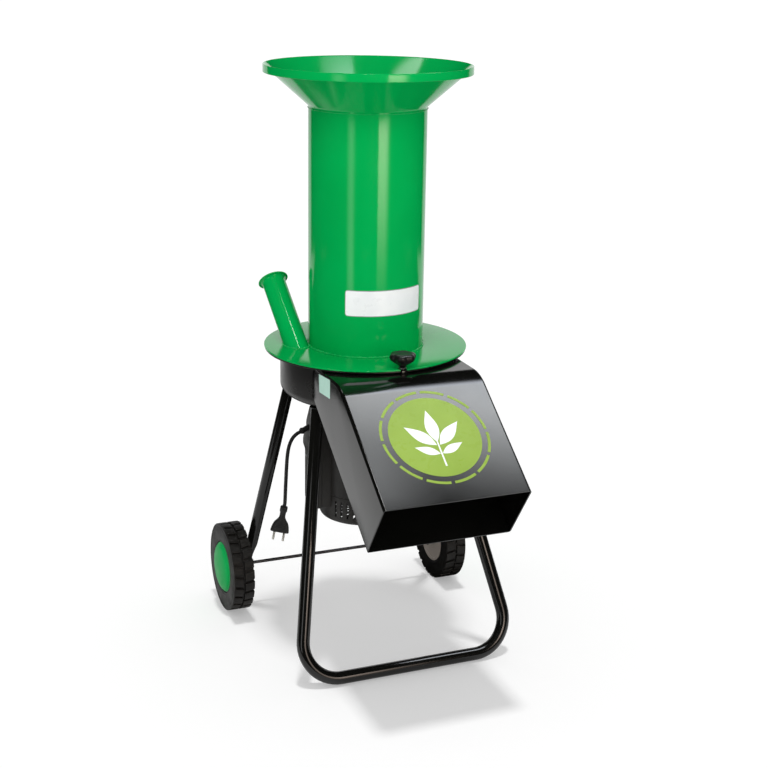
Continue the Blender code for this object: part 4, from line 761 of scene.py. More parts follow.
def make_plug():
    sections = (
        (0.0000, 0.0060, 0.0060, 1.0), (0.0004, 0.0069, 0.0069, 1.0), (0.0012, 0.0072, 0.0072, 1.0),
        (0.0096, 0.0072, 0.0072, 1.0), (0.0104, 0.0069, 0.0068, 1.0), (0.0108, 0.0060, 0.0058, 1.0),
        (0.0160, 0.0057, 0.0055, 1.0), (0.0215, 0.0058, 0.0056, 0.95), (0.0250, 0.0070, 0.0060, 0.8),
        (0.0290, 0.0092, 0.0064, 0.62), (0.0350, 0.0138, 0.0070, 0.52), (0.0430, 0.0165, 0.0074, 0.46),
        (0.0500, 0.0178, 0.0076, 0.44), (0.0515, 0.0180, 0.0076, 0.44), (0.0522, 0.0178, 0.0074, 0.44),
        (PLUG_LENGTH, 0.0172, 0.0069, 0.44),
    )
    made = [piece("plug", skin([plug_ring(*section) for section in sections]), "cord", "chassis", "plug_body")]
    across, through, down = plug_axes()
    grips = []
    for face in (-1, 1):
        for k in range(4):
            centre = PLUG_TOP + down * (0.036 + 0.0034 * k) + through * (face * (0.0071 + 0.00008 * k))
            path = [centre + across * ((0.0085 + 0.0012 * k) * s) for s in (-1, -0.5, 0, 0.5, 1)]
            grips.append(tube(path, [0.0002, 0.0007, 0.0007, 0.0007, 0.0002], through, 12))
    made.append(piece("plug_grips", merged(grips), "cord", "chassis"))
    collars = []
    shape = [(0.0, 0.0), (0.0022, 0.0), (0.0022, 0.0175), (0.0019, 0.0187)]
    shape += [(0.0011, PIN_LENGTH), (0.0, PIN_LENGTH)]
    collar = [(0.0023, -0.0002), (0.0034, -0.0002), (0.0030, 0.0006), (0.0023, 0.0006)]
    for word, side in SIDES:
        start = PLUG_TOP + down * (PLUG_LENGTH + GAP) + across * (side / 2 * PIN_SPACING)
        pin = laid(turned(shape, 0.0003, 24), start, down)
        made.append(piece(f"pin_{word}", pin, "pin", "chassis", f"plug_pin_{word}"))
        collars.append(laid(turned(collar, 0.0001, 24), start, down))
    made.append(piece("pin_collars", merged(collars), "cord", "chassis"))
    return made


def make_cord():
    """The hanging lead: its route is the CAD solid's own."""
    down = plug_axes()[2]
    straight = 2 * CORD_RADIUS
    end = PLUG_TOP - down * GAP
    route = [CORD_EXIT, CORD_EXIT + GLAND_WAY * straight, *CORD_ROUTE, end - down * straight, end]
    path = smooth_path(route, 30)
    curve = bpy.data.curves.new("lead", "CURVE")
    curve.dimensions = "3D"
    curve.bevel_depth = CORD_RADIUS
    curve.bevel_resolution = 8
    curve.use_fill_caps = True
    spline = curve.splines.new("POLY")
    spline.points.add(len(path) - 1)
    for point, place in zip(spline.points, path):
        point.co = (*(place + AXIS), 1.0)
    spline.use_smooth = True
    lead = dressed(added("lead", curve), "cord", "chassis", "power_cord")
    make_plug()


def make_gland():
    """Strain relief: a flange on the lid and a short ribbed taper inside its bore."""
    end = GLAND_LENGTH
    profile = [
        (0.0, 0.0), (0.0046, 0.0), (GLAND_RADIUS, 0.0015), (GLAND_RADIUS, end - 0.0062),
        (0.0066, end - 0.0058), (0.0066, end - 0.0034), (0.0054, end - 0.0030), (0.0057, end - 0.0018),
        (0.0049, end - 0.0014), (0.0050, end - 0.0004), (0.0042, end), (0.0, end),
    ]
    gland = laid(turned(profile, 0.0003, 40), CORD_EXIT - GLAND_WAY * (end + GAP), GLAND_WAY)
    piece("strain_relief", gland, "cord", "chassis", "cable_gland")


# ---------------------------------------------------------------- hopper


def make_funnel():
    low = COLUMN_TOP + GAP
    top = low + FUNNEL_HEIGHT
    band_inside = FUNNEL_RADIUS - HOPPER_WALL
    profile = [
        (HOPPER_BORE, low), (COLUMN_RADIUS, low), (COLUMN_RADIUS, low + FUNNEL_NECK),
        (band_inside, top - 2 * HOPPER_WALL), (band_inside, top - FUNNEL_BAND),
        (FUNNEL_RADIUS, top - FUNNEL_BAND), (FUNNEL_RADIUS, top), (band_inside - 0.0008, top - 0.0006),
        (HOPPER_BORE, low + FUNNEL_NECK + 0.0008),
    ]
    ease = [0.0003, 0.0003, 0.003, 0.0008, 0.0006, 0.0008, 0.0014, 0.0016, 0.004]
    piece("funnel_shell", revolve(eased(profile, ease, 4), FINE), "green", "hopper", "funnel")
    neck = [spoke(turn, COLUMN_RADIUS + 0.0001, low + 0.0002) for turn in ring_turns(420)]
    piece("neck_weld", weld_bead(neck, 0.0009, 3.0), "weld_green", "hopper")


def make_column():
    low = DISC_TOP + GAP
    section = wall(HOPPER_BORE, COLUMN_RADIUS, low, COLUMN_TOP)
    piece("column", revolve(eased(section, 0.0003), FINE), "green", "hopper", "feed_column")
    foot = [spoke(turn, COLUMN_RADIUS + 0.0006, low + 0.0006) for turn in ring_turns(520)]
    piece("column_weld", weld_bead(foot, 0.0017, 1.0), "weld_green", "hopper")
    seam = [Vector((0.0, COLUMN_RADIUS - 0.0002, low + 0.004 + 0.428 * k / 300)) for k in range(301)]
    piece("column_seam", weld_bead(seam, 0.0011, 5.0, ACROSS, closed=False), "weld_green", "hopper")


def branch_axis():
    lean = math.sin(BRANCH_LEAN)
    return Vector((lean * math.sin(BRANCH_TURN), lean * math.cos(BRANCH_TURN), math.cos(BRANCH_LEAN)))


def slot_outline(width, reach):
    """A slot along -Y with a round end about the stud, in the X-Y plane."""
    half = width / 2
    return [(half, STUD_Y - reach), *arc((0.0, STUD_Y), half, 0.0, math.pi, 14), (-half, STUD_Y - reach)]


def make_disc():
    under = DISC_TOP - DISC_THICKNESS
    hole, rim = FEED_HOLE_RADIUS, DISC_RADIUS
    profile = [(hole, under), (hole, DISC_TOP), (rim, DISC_TOP), (rim, under)]
    outline = eased(profile, [0.0006, 0.0006, 0.0011, 0.0005], 4)
    disc = piece("base_plate", revolve(outline, FINE), "green", "hopper", "hopper_disc")
    reach = branch_axis() * (BRANCH_RADIUS * 2)
    carve(
        disc,
        prism(slot_outline(NOTCH_WIDTH, 0.03), under - SHEET, DISC_TOP + SHEET, "Z"),
        rod(BRANCH_FOOT - reach, BRANCH_FOOT + reach, BRANCH_RADIUS - HOPPER_WALL, 64),
    )


def make_branch_tube():
    axis = branch_axis()
    across = axis.cross(UP).normalized()
    lift = axis.cross(across)

    def ring(radius, along=None):
        """A ring square to the tube, or cut level at its foot."""
        made = []
        for turn in ring_turns(72):
            arm = radius * (math.cos(turn) * across + math.sin(turn) * lift)
            made.append(BRANCH_FOOT + UP * GAP + arm + axis * (-arm.z / axis.z if along is None else along))
        return made

    out, bore = BRANCH_RADIUS, BRANCH_RADIUS - HOPPER_WALL
    lip, end, edge = BRANCH_LENGTH - BRANCH_LIP_THICKNESS, BRANCH_LENGTH, BRANCH_LIP_RADIUS
    profile = (
        (out,), (out, lip - 0.009), (out + 0.0003, lip - 0.006), (out + 0.0011, lip - 0.003),
        (out + 0.0024, lip - 0.0009), (out + 0.0040, lip), (edge - 0.0008, lip), (edge, lip + 0.0006),
        (edge, end - 0.0008), (edge - 0.0008, end), (bore + 0.0036, end), (bore + 0.0020, end - 0.0010),
        (bore + 0.0006, end - 0.0040), (bore, end - 0.0080), (bore,),
    )
    shell = skin([ring(*place) for place in profile], closed=True)
    piece("branch_chute", shell, "green", "hopper", "branch_tube")
    bead = ring(out + 0.0008)
    fine = [bead[k].lerp(bead[(k + 1) % 72], s / 3) for k in range(72) for s in range(3)]
    piece("branch_weld", weld_bead(fine, 0.0016, 2.0), "weld_green", "hopper")


def wrapped(radius, thickness, half_angle, low, high, corner, steps=72):
    """A thin plate bent round the column, its corners rounded, centred on -Y."""
    rings = []
    width = radius * half_angle
    for k in range(steps + 1):
        s = -width + 2 * width * (0.5 - 0.5 * math.cos(math.pi * k / steps))
        over = max(0.0, abs(s) - (width - corner))
        drop = corner - math.sqrt(max(0.0, corner**2 - over**2))
        angle = -math.pi / 2 + s / radius
        front, back = radius + thickness, radius
        places = ((front, low + drop), (front, high - drop), (back, high - drop), (back, low + drop))
        rings.append([spoke(angle, reach, z) for reach, z in places])
    return skin(rings)


def make_plate():
    """A bare plate with a thin border."""
    half = math.radians(42.0)
    for name, look, thick, angle, low, high, corner in (
        ("plate_border", "label_grey", 0.0004, half, 0.644, 0.692, 0.005),
        ("plate_field", "label_white", 0.0007, half - 0.0010 / COLUMN_RADIUS, 0.6452, 0.6908, 0.0042),
    ):
        plate = wrapped(COLUMN_RADIUS, thick, angle, low, high, corner)
        piece(name, spun(plate, math.radians(0.5)), look, "hopper")


# ---------------------------------------------------------------- chamber and chute


def chute_mouth():
    """The mouth's top and bottom edges, as (y, z)."""
    sin, cos = math.sin(CHUTE_SLOPE), math.cos(CHUTE_SLOPE)
    top = (-CHUTE_CORNER_REACH - CHUTE_SLOPE_LENGTH * cos, CHUTE_TOP - CHUTE_SLOPE_LENGTH * sin)
    return top, (top[0] + MOUTH_DEPTH * sin, top[1] - MOUTH_DEPTH * cos)


def chute_floor_at(y, inset=0.0):
    bottom = chute_mouth()[1]
    return bottom[1] + (y - bottom[0]) * math.tan(CHUTE_FLOOR_SLOPE) + inset / math.cos(CHUTE_FLOOR_SLOPE)


def chute_outline(inset, back, past_mouth, steps=22):
    """The chute's side view, moved inwards by the sheet for its hollow."""
    sin, cos = math.sin(CHUTE_SLOPE), math.cos(CHUTE_SLOPE)
    setback = CHUTE_BEND_RADIUS * math.tan(CHUTE_SLOPE / 2)
    centre = (setback - CHUTE_CORNER_REACH, CHUTE_TOP - CHUTE_BEND_RADIUS)
    bend = arc(centre, CHUTE_BEND_RADIUS - inset, math.pi / 2, math.pi / 2 + CHUTE_SLOPE, steps)
    (top_y, top_z), (bottom_y, _) = chute_mouth()
    top_end = (top_y + sin * inset - cos * past_mouth, top_z - cos * inset - sin * past_mouth)
    low_y = bottom_y - past_mouth * math.cos(CHUTE_FLOOR_SLOPE)
    floor = [(y, chute_floor_at(y, inset)) for y in (low_y, back)]
    return [(back, CHUTE_TOP - inset), *bend, top_end, *floor]


def pan_profile(grow):
    """The pan's outer and inner radius, its underside, and both arcs of its lower edge."""
    outside, under, corner = CHAMBER_RADIUS + grow, FLOOR_UNDER - grow, CHAMBER_CORNER + grow
    centre = (outside - corner, under + corner)
    outer = arc(centre, corner, 0.0, -math.pi / 2, 10)
    inner = arc(centre, corner - SHEET, -math.pi / 2, 0.0, 10)
    return outside, outside - SHEET, under, outer, inner


def make_pan():
    outside, inside, under, outer, inner = pan_profile(0.0)
    rim = [(inside, FLANGE_TOP), (FLANGE_RADIUS, FLANGE_TOP)]
    rim += [(FLANGE_RADIUS, FLANGE_BOTTOM), (outside, FLANGE_BOTTOM)]
    hole = [(SHAFT_HOLE_RADIUS, under), (SHAFT_HOLE_RADIUS, under + SHEET)]
    profile = [*eased(rim, [0.002, 0.0008, 0.0008, 0.0]), *outer, *hole, *inner]
    pan = piece("chamber", revolve(profile, FINE), "pan", "chassis", "chamber_pan")
    half = CHUTE_HALF - SHEET - GAP
    back, front = CHUTE_MEETS_DRUM + 0.012, -(CHAMBER_RADIUS + 0.06)
    window = [(y, CHUTE_TOP - SHEET) for y in (back, front)] + [(y, chute_floor_at(y, SHEET)) for y in (front, back)]
    notch = slot_outline(POST_WIDTH + 2 * GAP, 0.03)
    carve(
        pan, prism(window, -half, half), prism(notch, FLANGE_BOTTOM - SHEET / 2, FLANGE_TOP + SHEET, "Z")
    )


def make_chute():
    back = CHUTE_MEETS_DRUM + 0.006
    shell = prism(chute_outline(0.0, back, 0.0), -CHUTE_HALF, CHUTE_HALF)
    (top_y, _), (bottom_y, _) = chute_mouth()

    def long_edge(edge):
        a, b = (vert.co for vert in edge.verts)
        low, high = sorted((a.y, b.y))
        mouth = abs(low - top_y) < 1e-5 and abs(high - bottom_y) < 1e-5
        return abs(a.x - b.x) < 1e-6 and high - low > 1e-4 and not mouth

    rounded(shell, [edge for edge in shell.edges if long_edge(edge)], CHUTE_EDGE_RADIUS, 6)
    chute = piece("chute", shell, "black", "chassis", "discharge_chute", sharp=30)
    half = CHUTE_HALF - SHEET
    outside, _, under, outer, _ = pan_profile(GAP)
    envelope = [(0.0, CHUTE_TOP + 0.02), (outside, CHUTE_TOP + 0.02), *outer, (0.0, under)]
    carve(chute, prism(chute_outline(SHEET, back + 0.02, 0.02), -half, half), revolve(envelope, FINE), sharp=30)
    for word, side in SIDES:
        make_chute_weld(word, side)


def make_chute_weld(word, side):
    """The bead where the chute's side meets the drum."""
    x = side * (CHUTE_HALF - 0.0004)
    y = -math.sqrt((CHAMBER_RADIUS + 0.0006) ** 2 - x**2)
    low = max(chute_floor_at(y) + 0.002, FLOOR_UNDER + CHAMBER_CORNER)
    run = [Vector((x + side * 0.0006, y, low + (CHUTE_TOP - 0.004 - low) * k / 70)) for k in range(71)]
    piece(f"chute_weld_{word}", weld_bead(run, 0.0012, 9.0 + side, ACROSS, closed=False), "pan", "chassis")


def on_slope(bm):
    """From (across, up the slope, out of it) to the chute's slope, its origin at the mouth's top edge."""
    (y, z), _ = chute_mouth()
    sin, cos = math.sin(CHUTE_SLOPE), math.cos(CHUTE_SLOPE)
    turn = Matrix((ACROSS, Vector((0.0, cos, sin)), Vector((0.0, -sin, cos)))).transposed().to_4x4()
    bm.transform(Matrix.Translation((0.0, y, z)) @ turn)
    return bm


def leaf(base, tip, fullness=0.20):
    """A pointed leaf between two places on a plane."""
    base, tip = Vector(base), Vector(tip)
    along = tip - base
    side = Vector((-along.y, along.x)) * fullness
    outline = []
    for k, way in [(k, 1) for k in range(13)] + [(k, -1) for k in range(11, 0, -1)]:
        t = k / 12
        outline.append(tuple(base + along * t + side * (way * math.sin(math.pi * t) * (1.1 - 0.5 * t))))
    return outline


def make_emblem():
    """A plain printed emblem: a lime disc in a broken ring, with a sprig of leaves."""
    x, y = 0.002, 0.133
    disc = [(x + 0.083 * math.cos(turn), y + 0.083 * math.sin(turn)) for turn in ring_turns(120)]
    marks = [prism(disc, 0.0, 0.0003, "Z")]
    for k in range(12):
        start, end = (2 * math.pi * (k + share) / 12 for share in (0.07, 0.93))
        dash = [*arc((x, y), 0.0935, start, end, 10), *arc((x, y), 0.0985, end, start, 10)]
        marks.append(prism(dash, 0.0, 0.0003, "Z"))
    piece("emblem_disc", on_slope(merged(marks)), "lime", "chassis")
    outlines = [leaf((0.0, -0.012), (0.0, 0.056))]
    for root, low, tip, high in ((0.003, -0.018, 0.050, 0.026), (0.002, -0.036, 0.044, -0.018)):
        outlines += [leaf((side * root, low), (side * tip, high)) for side in (-1, 1)]
    outlines.append([(-0.0016, -0.062), (0.0016, -0.062), (0.0012, -0.010), (-0.0012, -0.010)])
    sprig = [prism([(x + a, y + b) for a, b in outline], 0.0002, 0.0005, "Z") for outline in outlines]
    piece("emblem_sprig", on_slope(merged(sprig)), "label_white", "chassis")


def make_side_label():
    corners = [(-0.1207, 0.5521), (-0.1781, 0.5575), (-0.1785, 0.5229), (-0.1235, 0.5194)]
    piece("side_label", prism(eased(corners, 0.002), -CHUTE_HALF - 0.0003, -CHUTE_HALF), "label_mint", "chassis")


# ---------------------------------------------------------------- clamp and hinge


def make_clamp():
    at_stud = (0.0, STUD_Y, 0.0)
    washer = turned(wall(0.0043, 0.008, DISC_TOP + GAP, WASHER_TOP), 0.0004, 48)
    piece("washer", moved(washer, at_stud), "zinc", "clamp_seat", "clamp_washer")
    levels = (
        (0.00, 0.0048, 0.0), (0.01, 0.0054, 0.0), (0.10, 0.0066, 0.0), (0.20, 0.0096, 0.05),
        (0.30, 0.0138, 0.15), (0.40, 0.0182, 0.35), (0.50, 0.0215, 0.7), (0.60, 0.0238, 0.95),
        (0.70, 0.0245, 1.0), (0.80, 0.0244, 1.0), (0.88, 0.0234, 0.95), (0.94, 0.0215, 0.85),
        (0.98, 0.0185, 0.6), (1.00, 0.0145, 0.3), (0.975, 0.0120, 0.1), (0.960, 0.0080, 0.0),
    )
    rings = []
    for share, radius, strength in levels:
        ring = []
        for turn in ring_turns(144):
            wave = 0.5 - 0.5 * math.cos(KNOB_LOBES * turn)
            reach = radius * (1.0 - 0.13 * strength * wave**1.6)
            ring.append((reach * math.cos(turn), STUD_Y + reach * math.sin(turn), KNOB_LOW + KNOB_HEIGHT * share))
        rings.append(ring)
    piece("knob", skin(rings), "knob", "clamp_screw", "clamp_knob")
    low, top = DISC_TOP - 0.007, KNOB_LOW + 0.012
    stud = [(0.0, low), (0.003, low), (STUD_RADIUS, low + 0.001)]
    for k in range(8):
        at = low + 0.0012 + STUD_PITCH * k
        stud += [(0.00345, at + 0.0003), (STUD_RADIUS, at + 0.0009)]
    stud += [(STUD_RADIUS, top), (0.0, top)]
    piece("stud", moved(revolve(stud, 32), at_stud), "zinc", "clamp_screw", "clamp_stud", sharp=20)
    post = prism(slot_outline(POST_WIDTH, 0.0115), CHUTE_TOP + GAP, DISC_TOP - 0.0015, "Z")
    bracket = piece("clamp_post", bevelled(post, 0.0006), "black", "chassis", "clamp_bracket")
    carve(bracket, rod((0.0, STUD_Y, CHUTE_TOP - 0.01), (0.0, STUD_Y, DISC_TOP + 0.01), 0.0044, 48))


def knuckle(low, high):
    sleeve = turned(wall(0.003, HINGE_RADIUS, 0.0, high - low), 0.0004, 48)
    return laid(sleeve, (low, HINGE_Y, HINGE_Z), ACROSS)


def rivet(at, radius=0.0032, height=0.0013):
    dome = [(radius * math.cos(t), height * math.sin(t)) for t in (0.2, 0.6, 1.0, 1.3)]
    return laid(revolve([(0.0, -0.0001), (radius, -0.0001), *dome, (0.0, height)], 28), at, UP)


def make_hinge():
    half = HINGE_CENTRE_HALF
    leaf_low = DISC_TOP + GAP
    plate = block((-half, half), (HINGE_Y - 0.036, HINGE_Y - 0.0039), (leaf_low, leaf_low + LEAF))
    upper = piece("hinge_upper", bevelled(plate, 0.0006), "green", "hopper", "hinge_leaf_upper")
    carve(upper, knuckle(-half, half), operation="UNION")
    rivets = [rivet((x, HINGE_Y - y, leaf_low + LEAF)) for x in (-0.010, 0.010) for y in (0.012, 0.028)]
    piece("hinge_rivets", merged(rivets), "green", "hopper")
    tab_top = FLANGE_BOTTOM - GAP
    tab_low = tab_top - LEAF
    tab_y = (CHAMBER_RADIUS + 0.008, HINGE_Y + HINGE_RADIUS - 0.0005)
    tab = bevelled(block((-HINGE_HALF, HINGE_HALF), tab_y, (tab_low, tab_top)), 0.0006)
    lower = piece("hinge_lower", tab, "black", "chassis", "hinge_leaf_lower")
    joins = [knuckle(half + GAP, HINGE_HALF), knuckle(-HINGE_HALF, -half - GAP)]
    for _, side in SIDES:
        span = sorted((side * (half + GAP), side * HINGE_HALF))
        joins.append(block(span, (HINGE_Y - 0.004, HINGE_Y + 0.004), (tab_low + 0.0005, HINGE_Z - 0.0033)))
    carve(lower, *joins, operation="UNION")
    end = HINGE_HALF + 0.0015
    pin = rod((-end, HINGE_Y, HINGE_Z), (end, HINGE_Y, HINGE_Z), 0.0027, 32, 0.0005)
    piece("hinge_bar", pin, "zinc", "chassis", "hinge_pin")


# ---------------------------------------------------------------- legs and wheels


def leg_weld(top, way, radius, reference, seed):
    """The bead round the upper end of a leg."""
    ring = oval(top, way, (radius + 0.0006,) * 2, reference, 90, BELOW_FLOOR - 0.0008)
    return weld_bead(ring, 0.0014, seed)


def make_front_leg():
    tops = [Vector((side * FRONT_TOP[0], FRONT_TOP[1], BELOW_FLOOR)) for _, side in SIDES]
    corners = [Vector((side * FRONT_FOOT[0], FRONT_FOOT[1], FRONT_TUBE_RADIUS)) for _, side in SIDES]
    middle = Vector((0.0, FRONT_FOOT[1], FRONT_TUBE_RADIUS))
    left = bent_path(tops[0], corners[0], middle, FRONT_BEND_RADIUS)
    right = bent_path(middle, corners[1], tops[1], FRONT_BEND_RADIUS)
    normal = (tops[0] - corners[0]).cross(ACROSS).normalized()
    leg = tube([tops[0], *left, *right, tops[1]], FRONT_TUBE_RADIUS, normal, 40, level=BELOW_FLOOR)
    piece("bent_leg", leg, "black", "chassis", "front_leg")
    beads = []
    for top, corner, seed in zip(tops, corners, (10.0, 12.0)):
        beads.append(leg_weld(top, (top - corner).normalized(), FRONT_TUBE_RADIUS, normal, seed))
    piece("leg_welds", merged(beads), "black", "chassis")


def make_rear_leg(word, side):
    """A tube whose lower end is pressed flat, rounded off and drilled for the axle."""
    top = Vector((side * REAR_TOP[0], REAR_TOP[1], BELOW_FLOOR))
    axle = Vector((side * REAR_FOOT_X, AXLE_Y, WHEEL_RADIUS))
    way = (axle - top).normalized()
    width, thickness, length = FLAT_END
    flat_start = axle - way * (length / 2)
    taper_start = flat_start - way * FLAT_TAPER
    end = axle + way * (length / 2)
    full, flat = (REAR_TUBE_RADIUS,) * 2, (width / 2, thickness / 2)
    rings = [oval(top, way, full, ACROSS, 40, BELOW_FLOOR), oval(taper_start, way, full, ACROSS, 40)]
    for k in range(1, 9):
        t = k / 8
        radii = [a + (b - a) * (t * t * (3 - 2 * t)) for a, b in zip(full, flat)]
        rings.append(oval(taper_start.lerp(flat_start, t), way, radii, ACROSS, 40))
    for k in range(9):
        t = k / 8 * 0.94
        radii = (flat[0] * max(math.sqrt(1 - t**2), 0.30), flat[1])
        rings.append(oval(end - way * (width * 0.45 * (1 - t)), way, radii, ACROSS, 40))
    leg = piece(f"back_leg_{word}", skin(rings), "black", "chassis", f"rear_leg_{word}")
    hole = axle - ACROSS * 0.02
    carve(leg, rod(hole, hole + ACROSS * 0.04, AXLE_RADIUS + GAP, 32))
    bead = leg_weld(top, way, REAR_TUBE_RADIUS, ACROSS, 15.0 + side)
    piece(f"back_weld_{word}", bead, "black", "chassis")


def make_axle():
    end = WHEEL_MID_X + WHEEL_HALF + 0.0035
    axle = rod((-end, AXLE_Y, WHEEL_RADIUS), (end, AXLE_Y, WHEEL_RADIUS), AXLE_RADIUS, 40, 0.0008)
    piece("axle", axle, "axle", "chassis", "wheel_axle")


def lug(row, turn, width):
    """One tread block between the middle groove and its shoulder, its ends drafted and leaning."""
    top = WHEEL_RADIUS
    base = top - LUG_DEPTH - 0.0006
    reach = 0.0190 if row > 0 else 0.0206
    inner = [(0.0012, base), (0.0018, top - 0.0005), (0.0026, top)]
    section = [*inner, (0.0150, top), (reach, top - 0.0002), (reach + 0.0002, base)]
    rings = []
    for station in (-0.5, -0.48, -0.44, -0.22, 0.0, 0.22, 0.44, 0.48, 0.5):
        sink = {0.5: 0.0012, 0.48: 0.0003}.get(abs(station), 0.0)
        ring = []
        for along, radius in section:
            angle = turn + width * station + 0.05 * (along / WHEEL_HALF - 0.5)
            ring.append(spoke(angle, radius - (sink if radius > base else 0.0), row * along))
        rings.append(ring)
    return skin(rings)


def tyre_carcass(bore, half):
    """The tyre without its lugs: two flat bands, a groove between, and a step in its outer side."""
    base, top = WHEEL_RADIUS - LUG_DEPTH, WHEEL_RADIUS - 0.0002
    outline = [
        (bore, -half + 0.002), (bore + 0.004, -half + 0.0006), (base - 0.006, -half),
        (base - 0.001, -half + 0.0004), (base, -half + 0.0016), (base, -0.0014), (base - 0.0006, 0.0),
        (base, 0.0014), (base, half - 0.0040), (top, half - 0.0026), (top, half), (top - 0.0060, half),
        (top - 0.0066, half - 0.0005), (top - 0.0078, half - 0.0005), (top - 0.0084, half),
        (bore + 0.0045, half), (bore + 0.0038, half - 0.0007), (bore + 0.0012, half - 0.0007),
        (bore, half - 0.0016),
    ]
    ease = [0.0004, 0.001, 0.001, 0.0006, 0.0006, 0.0005, 0.0005, 0.0005, 0.0010]
    ease += [0.0008, 0.0022, 0.0004, 0.0004, 0.0004, 0.0004, 0.0005, 0.0004, 0.0004, 0.0006]
    return revolve(eased(outline, ease), 144)


def rim_profile(radius, half):
    """Outer wall, web near the outer face, and hub, about the wheel's own axis."""
    web_low = half - 0.016
    web_high = web_low + 0.004
    bore = AXLE_RADIUS + GAP
    inside = radius - RIM_WALL
    return [
        (bore, -half - 0.003), (HUB_RADIUS, -half - 0.003), (HUB_RADIUS, web_low), (inside, web_low),
        (inside, -half + RIM_INSET), (radius, -half + RIM_INSET), (radius, half - RIM_INSET),
        (inside, half - RIM_INSET), (inside, web_high), (HUB_RADIUS, web_high), (HUB_RADIUS, half - 0.002),
        (bore, half - 0.002),
    ]


def cap_profile(half):
    """A shallow dome with a stepped edge, seated on the rim's wall and hollow behind."""
    seat = half - RIM_INSET + GAP
    rise = seat + CAP_EDGE
    out = CAP_RADIUS
    edge = [(out - 0.0004, seat), (out, seat + 0.0005), (out, rise - 0.0002)]
    edge += [(out - 0.0010, rise + 0.0008), (out - 0.0018, rise + 0.0009)]
    dome = []
    for k in range(17):
        angle = math.pi / 2 * k / 16
        radius = (out - 0.0024) * math.cos(angle) if k < 16 else 0.0
        dome.append((radius, rise + 0.0008 + (CAP_BULGE - 0.0008) * math.sin(angle)))
    inner = [(radius * 0.95, height - 0.002) for radius, height in reversed(dome[6:])]
    spigot = TYRE_BORE_RADIUS - RIM_WALL - 2 * GAP
    skirt = [(spigot - 0.002, seat - 0.003), (spigot, seat - 0.003), (spigot, seat)]
    return [*edge, *dome, *inner, *skirt]


def plate_profile(half):
    """The pressed disc that closes the rim behind, with a raised ring about the hub."""
    seat = -half + RIM_INSET - GAP
    hub = HUB_RADIUS
    outline = [
        (hub + 0.0006, seat), (hub + 0.0006, seat - 0.0022), (hub + 0.0050, seat - 0.0022),
        (hub + 0.0066, seat - 0.0010), (0.0440, seat - 0.0010), (0.0456, seat - 0.0020),
        (0.0500, seat - 0.0020), (0.0508, seat - 0.0012), (0.0508, seat),
    ]
    return eased(outline, 0.0004)


def make_wheel(word, side):
    body = f"wheel_{word}"
    half = WHEEL_HALF
    bore = TYRE_BORE_RADIUS

    def part(name, bm, look, *nodes, sharp=38):
        on_axle = laid(bm, (side * WHEEL_MID_X, AXLE_Y, WHEEL_RADIUS), (side, 0.0, 0.0))
        piece(f"{name}_{word}", on_axle, look, body, *nodes, sharp=sharp)

    parts = [tyre_carcass(bore, half)]
    pitch = 2 * math.pi / LUGS
    for k in range(LUGS):
        parts.append(lug(1, k * pitch, pitch * LUG_SHARE))
        parts.append(lug(-1, (k + 0.5) * pitch, pitch * LUG_SHARE))
    part("tread", merged(parts), "rubber", f"tyre_{word}", sharp=32)
    part("wheel_disc", turned(rim_profile(bore - GAP, half), 0.0007), "rim", f"rim_{word}")
    reach = (HUB_RADIUS - 0.002, bore - GAP - 0.003)
    ribs = []
    for turn in ring_turns(6):
        rib = block(reach, (-0.00175, 0.00175), (-half + 0.005, half - 0.0125))
        ribs.append(spun(bevelled(rib, 0.0006), turn))
    for turn in ring_turns(6):
        ribs.append(spun(block(reach, (-0.0012, 0.0012), (half - 0.0125, half - 0.0065)), turn + math.pi / 6))
    part("wheel_ribs", merged(ribs), "rim")
    part("dome", revolve(cap_profile(half)), "cap", f"hub_cap_{word}")
    part("wheel_plate", revolve(plate_profile(half)), "plate_grey")


# ---------------------------------------------------------------- motor


def slot_turns():
    """Slots at an even pitch all round, but for the stretch behind the switch box."""
    pitch = 2 * math.pi / SLOT_COUNT
    turns = [math.pi + pitch * (k + 0.5) for k in range(SLOT_COUNT)]
    return [t for t in turns if SLOT_GAP_HALF < t - math.pi < 2 * math.pi - SLOT_GAP_HALF]


def make_motor_cover():
    bottom, top, out = COVER_BOTTOM, COVER_TOP, COVER_RADIUS
    inside = out - COVER_WALL
    centre = (out - COVER_CORNER, bottom + COVER_CORNER)
    profile = [
        (0.0, bottom + 0.0015), (0.030, bottom + 0.0015), (0.032, bottom + 0.0004), (0.060, bottom),
        *arc(centre, COVER_CORNER, -math.pi / 2, 0.0, 8),
        (out, 0.2795), (out - 0.0007, 0.2801), (out - 0.0007, 0.2813), (out, 0.2819),
        (out, top - 0.0012), (out - 0.0012, top), (MOTOR_FRAME_RADIUS + GAP, top),
        (MOTOR_FRAME_RADIUS + GAP, top - 0.006), (inside, top - 0.009),
        *arc(centre, COVER_CORNER - COVER_WALL, 0.0, -math.pi / 2, 6),
        (0.0, bottom + COVER_WALL + 0.0010),
    ]
    cover = piece("fan_cover", revolve(profile, 164), "cover", "chassis", "motor_cover")
    ends = (SLOT_LOW + 0.002, math.pi), (SLOT_LOW + SLOT_HEIGHT - 0.002, 0.0)
    outline = [point for z, start in ends for point in arc((0.0, z), 0.002, start, start + math.pi, 6)]
    slots = [spun(prism(outline, inside - 0.004, out + 0.004), turn) for turn in slot_turns()]
    vent = ((0.026, 0.066), (-0.0035, 0.0035), (bottom - 0.002, bottom + 0.006))
    carve(cover, merged(slots), merged([spun(block(*vent), turn) for turn in ring_turns(16)]))
    screws = []
    for way in (spoke(math.radians(angle)) for angle in (-60, 40, 130)):
        screws.append(laid(screw_head(0.0036, 0.0016), way * (out - 0.0002) + UP * 0.420, way))
    piece("cover_screws", merged(screws), "zinc", "chassis")


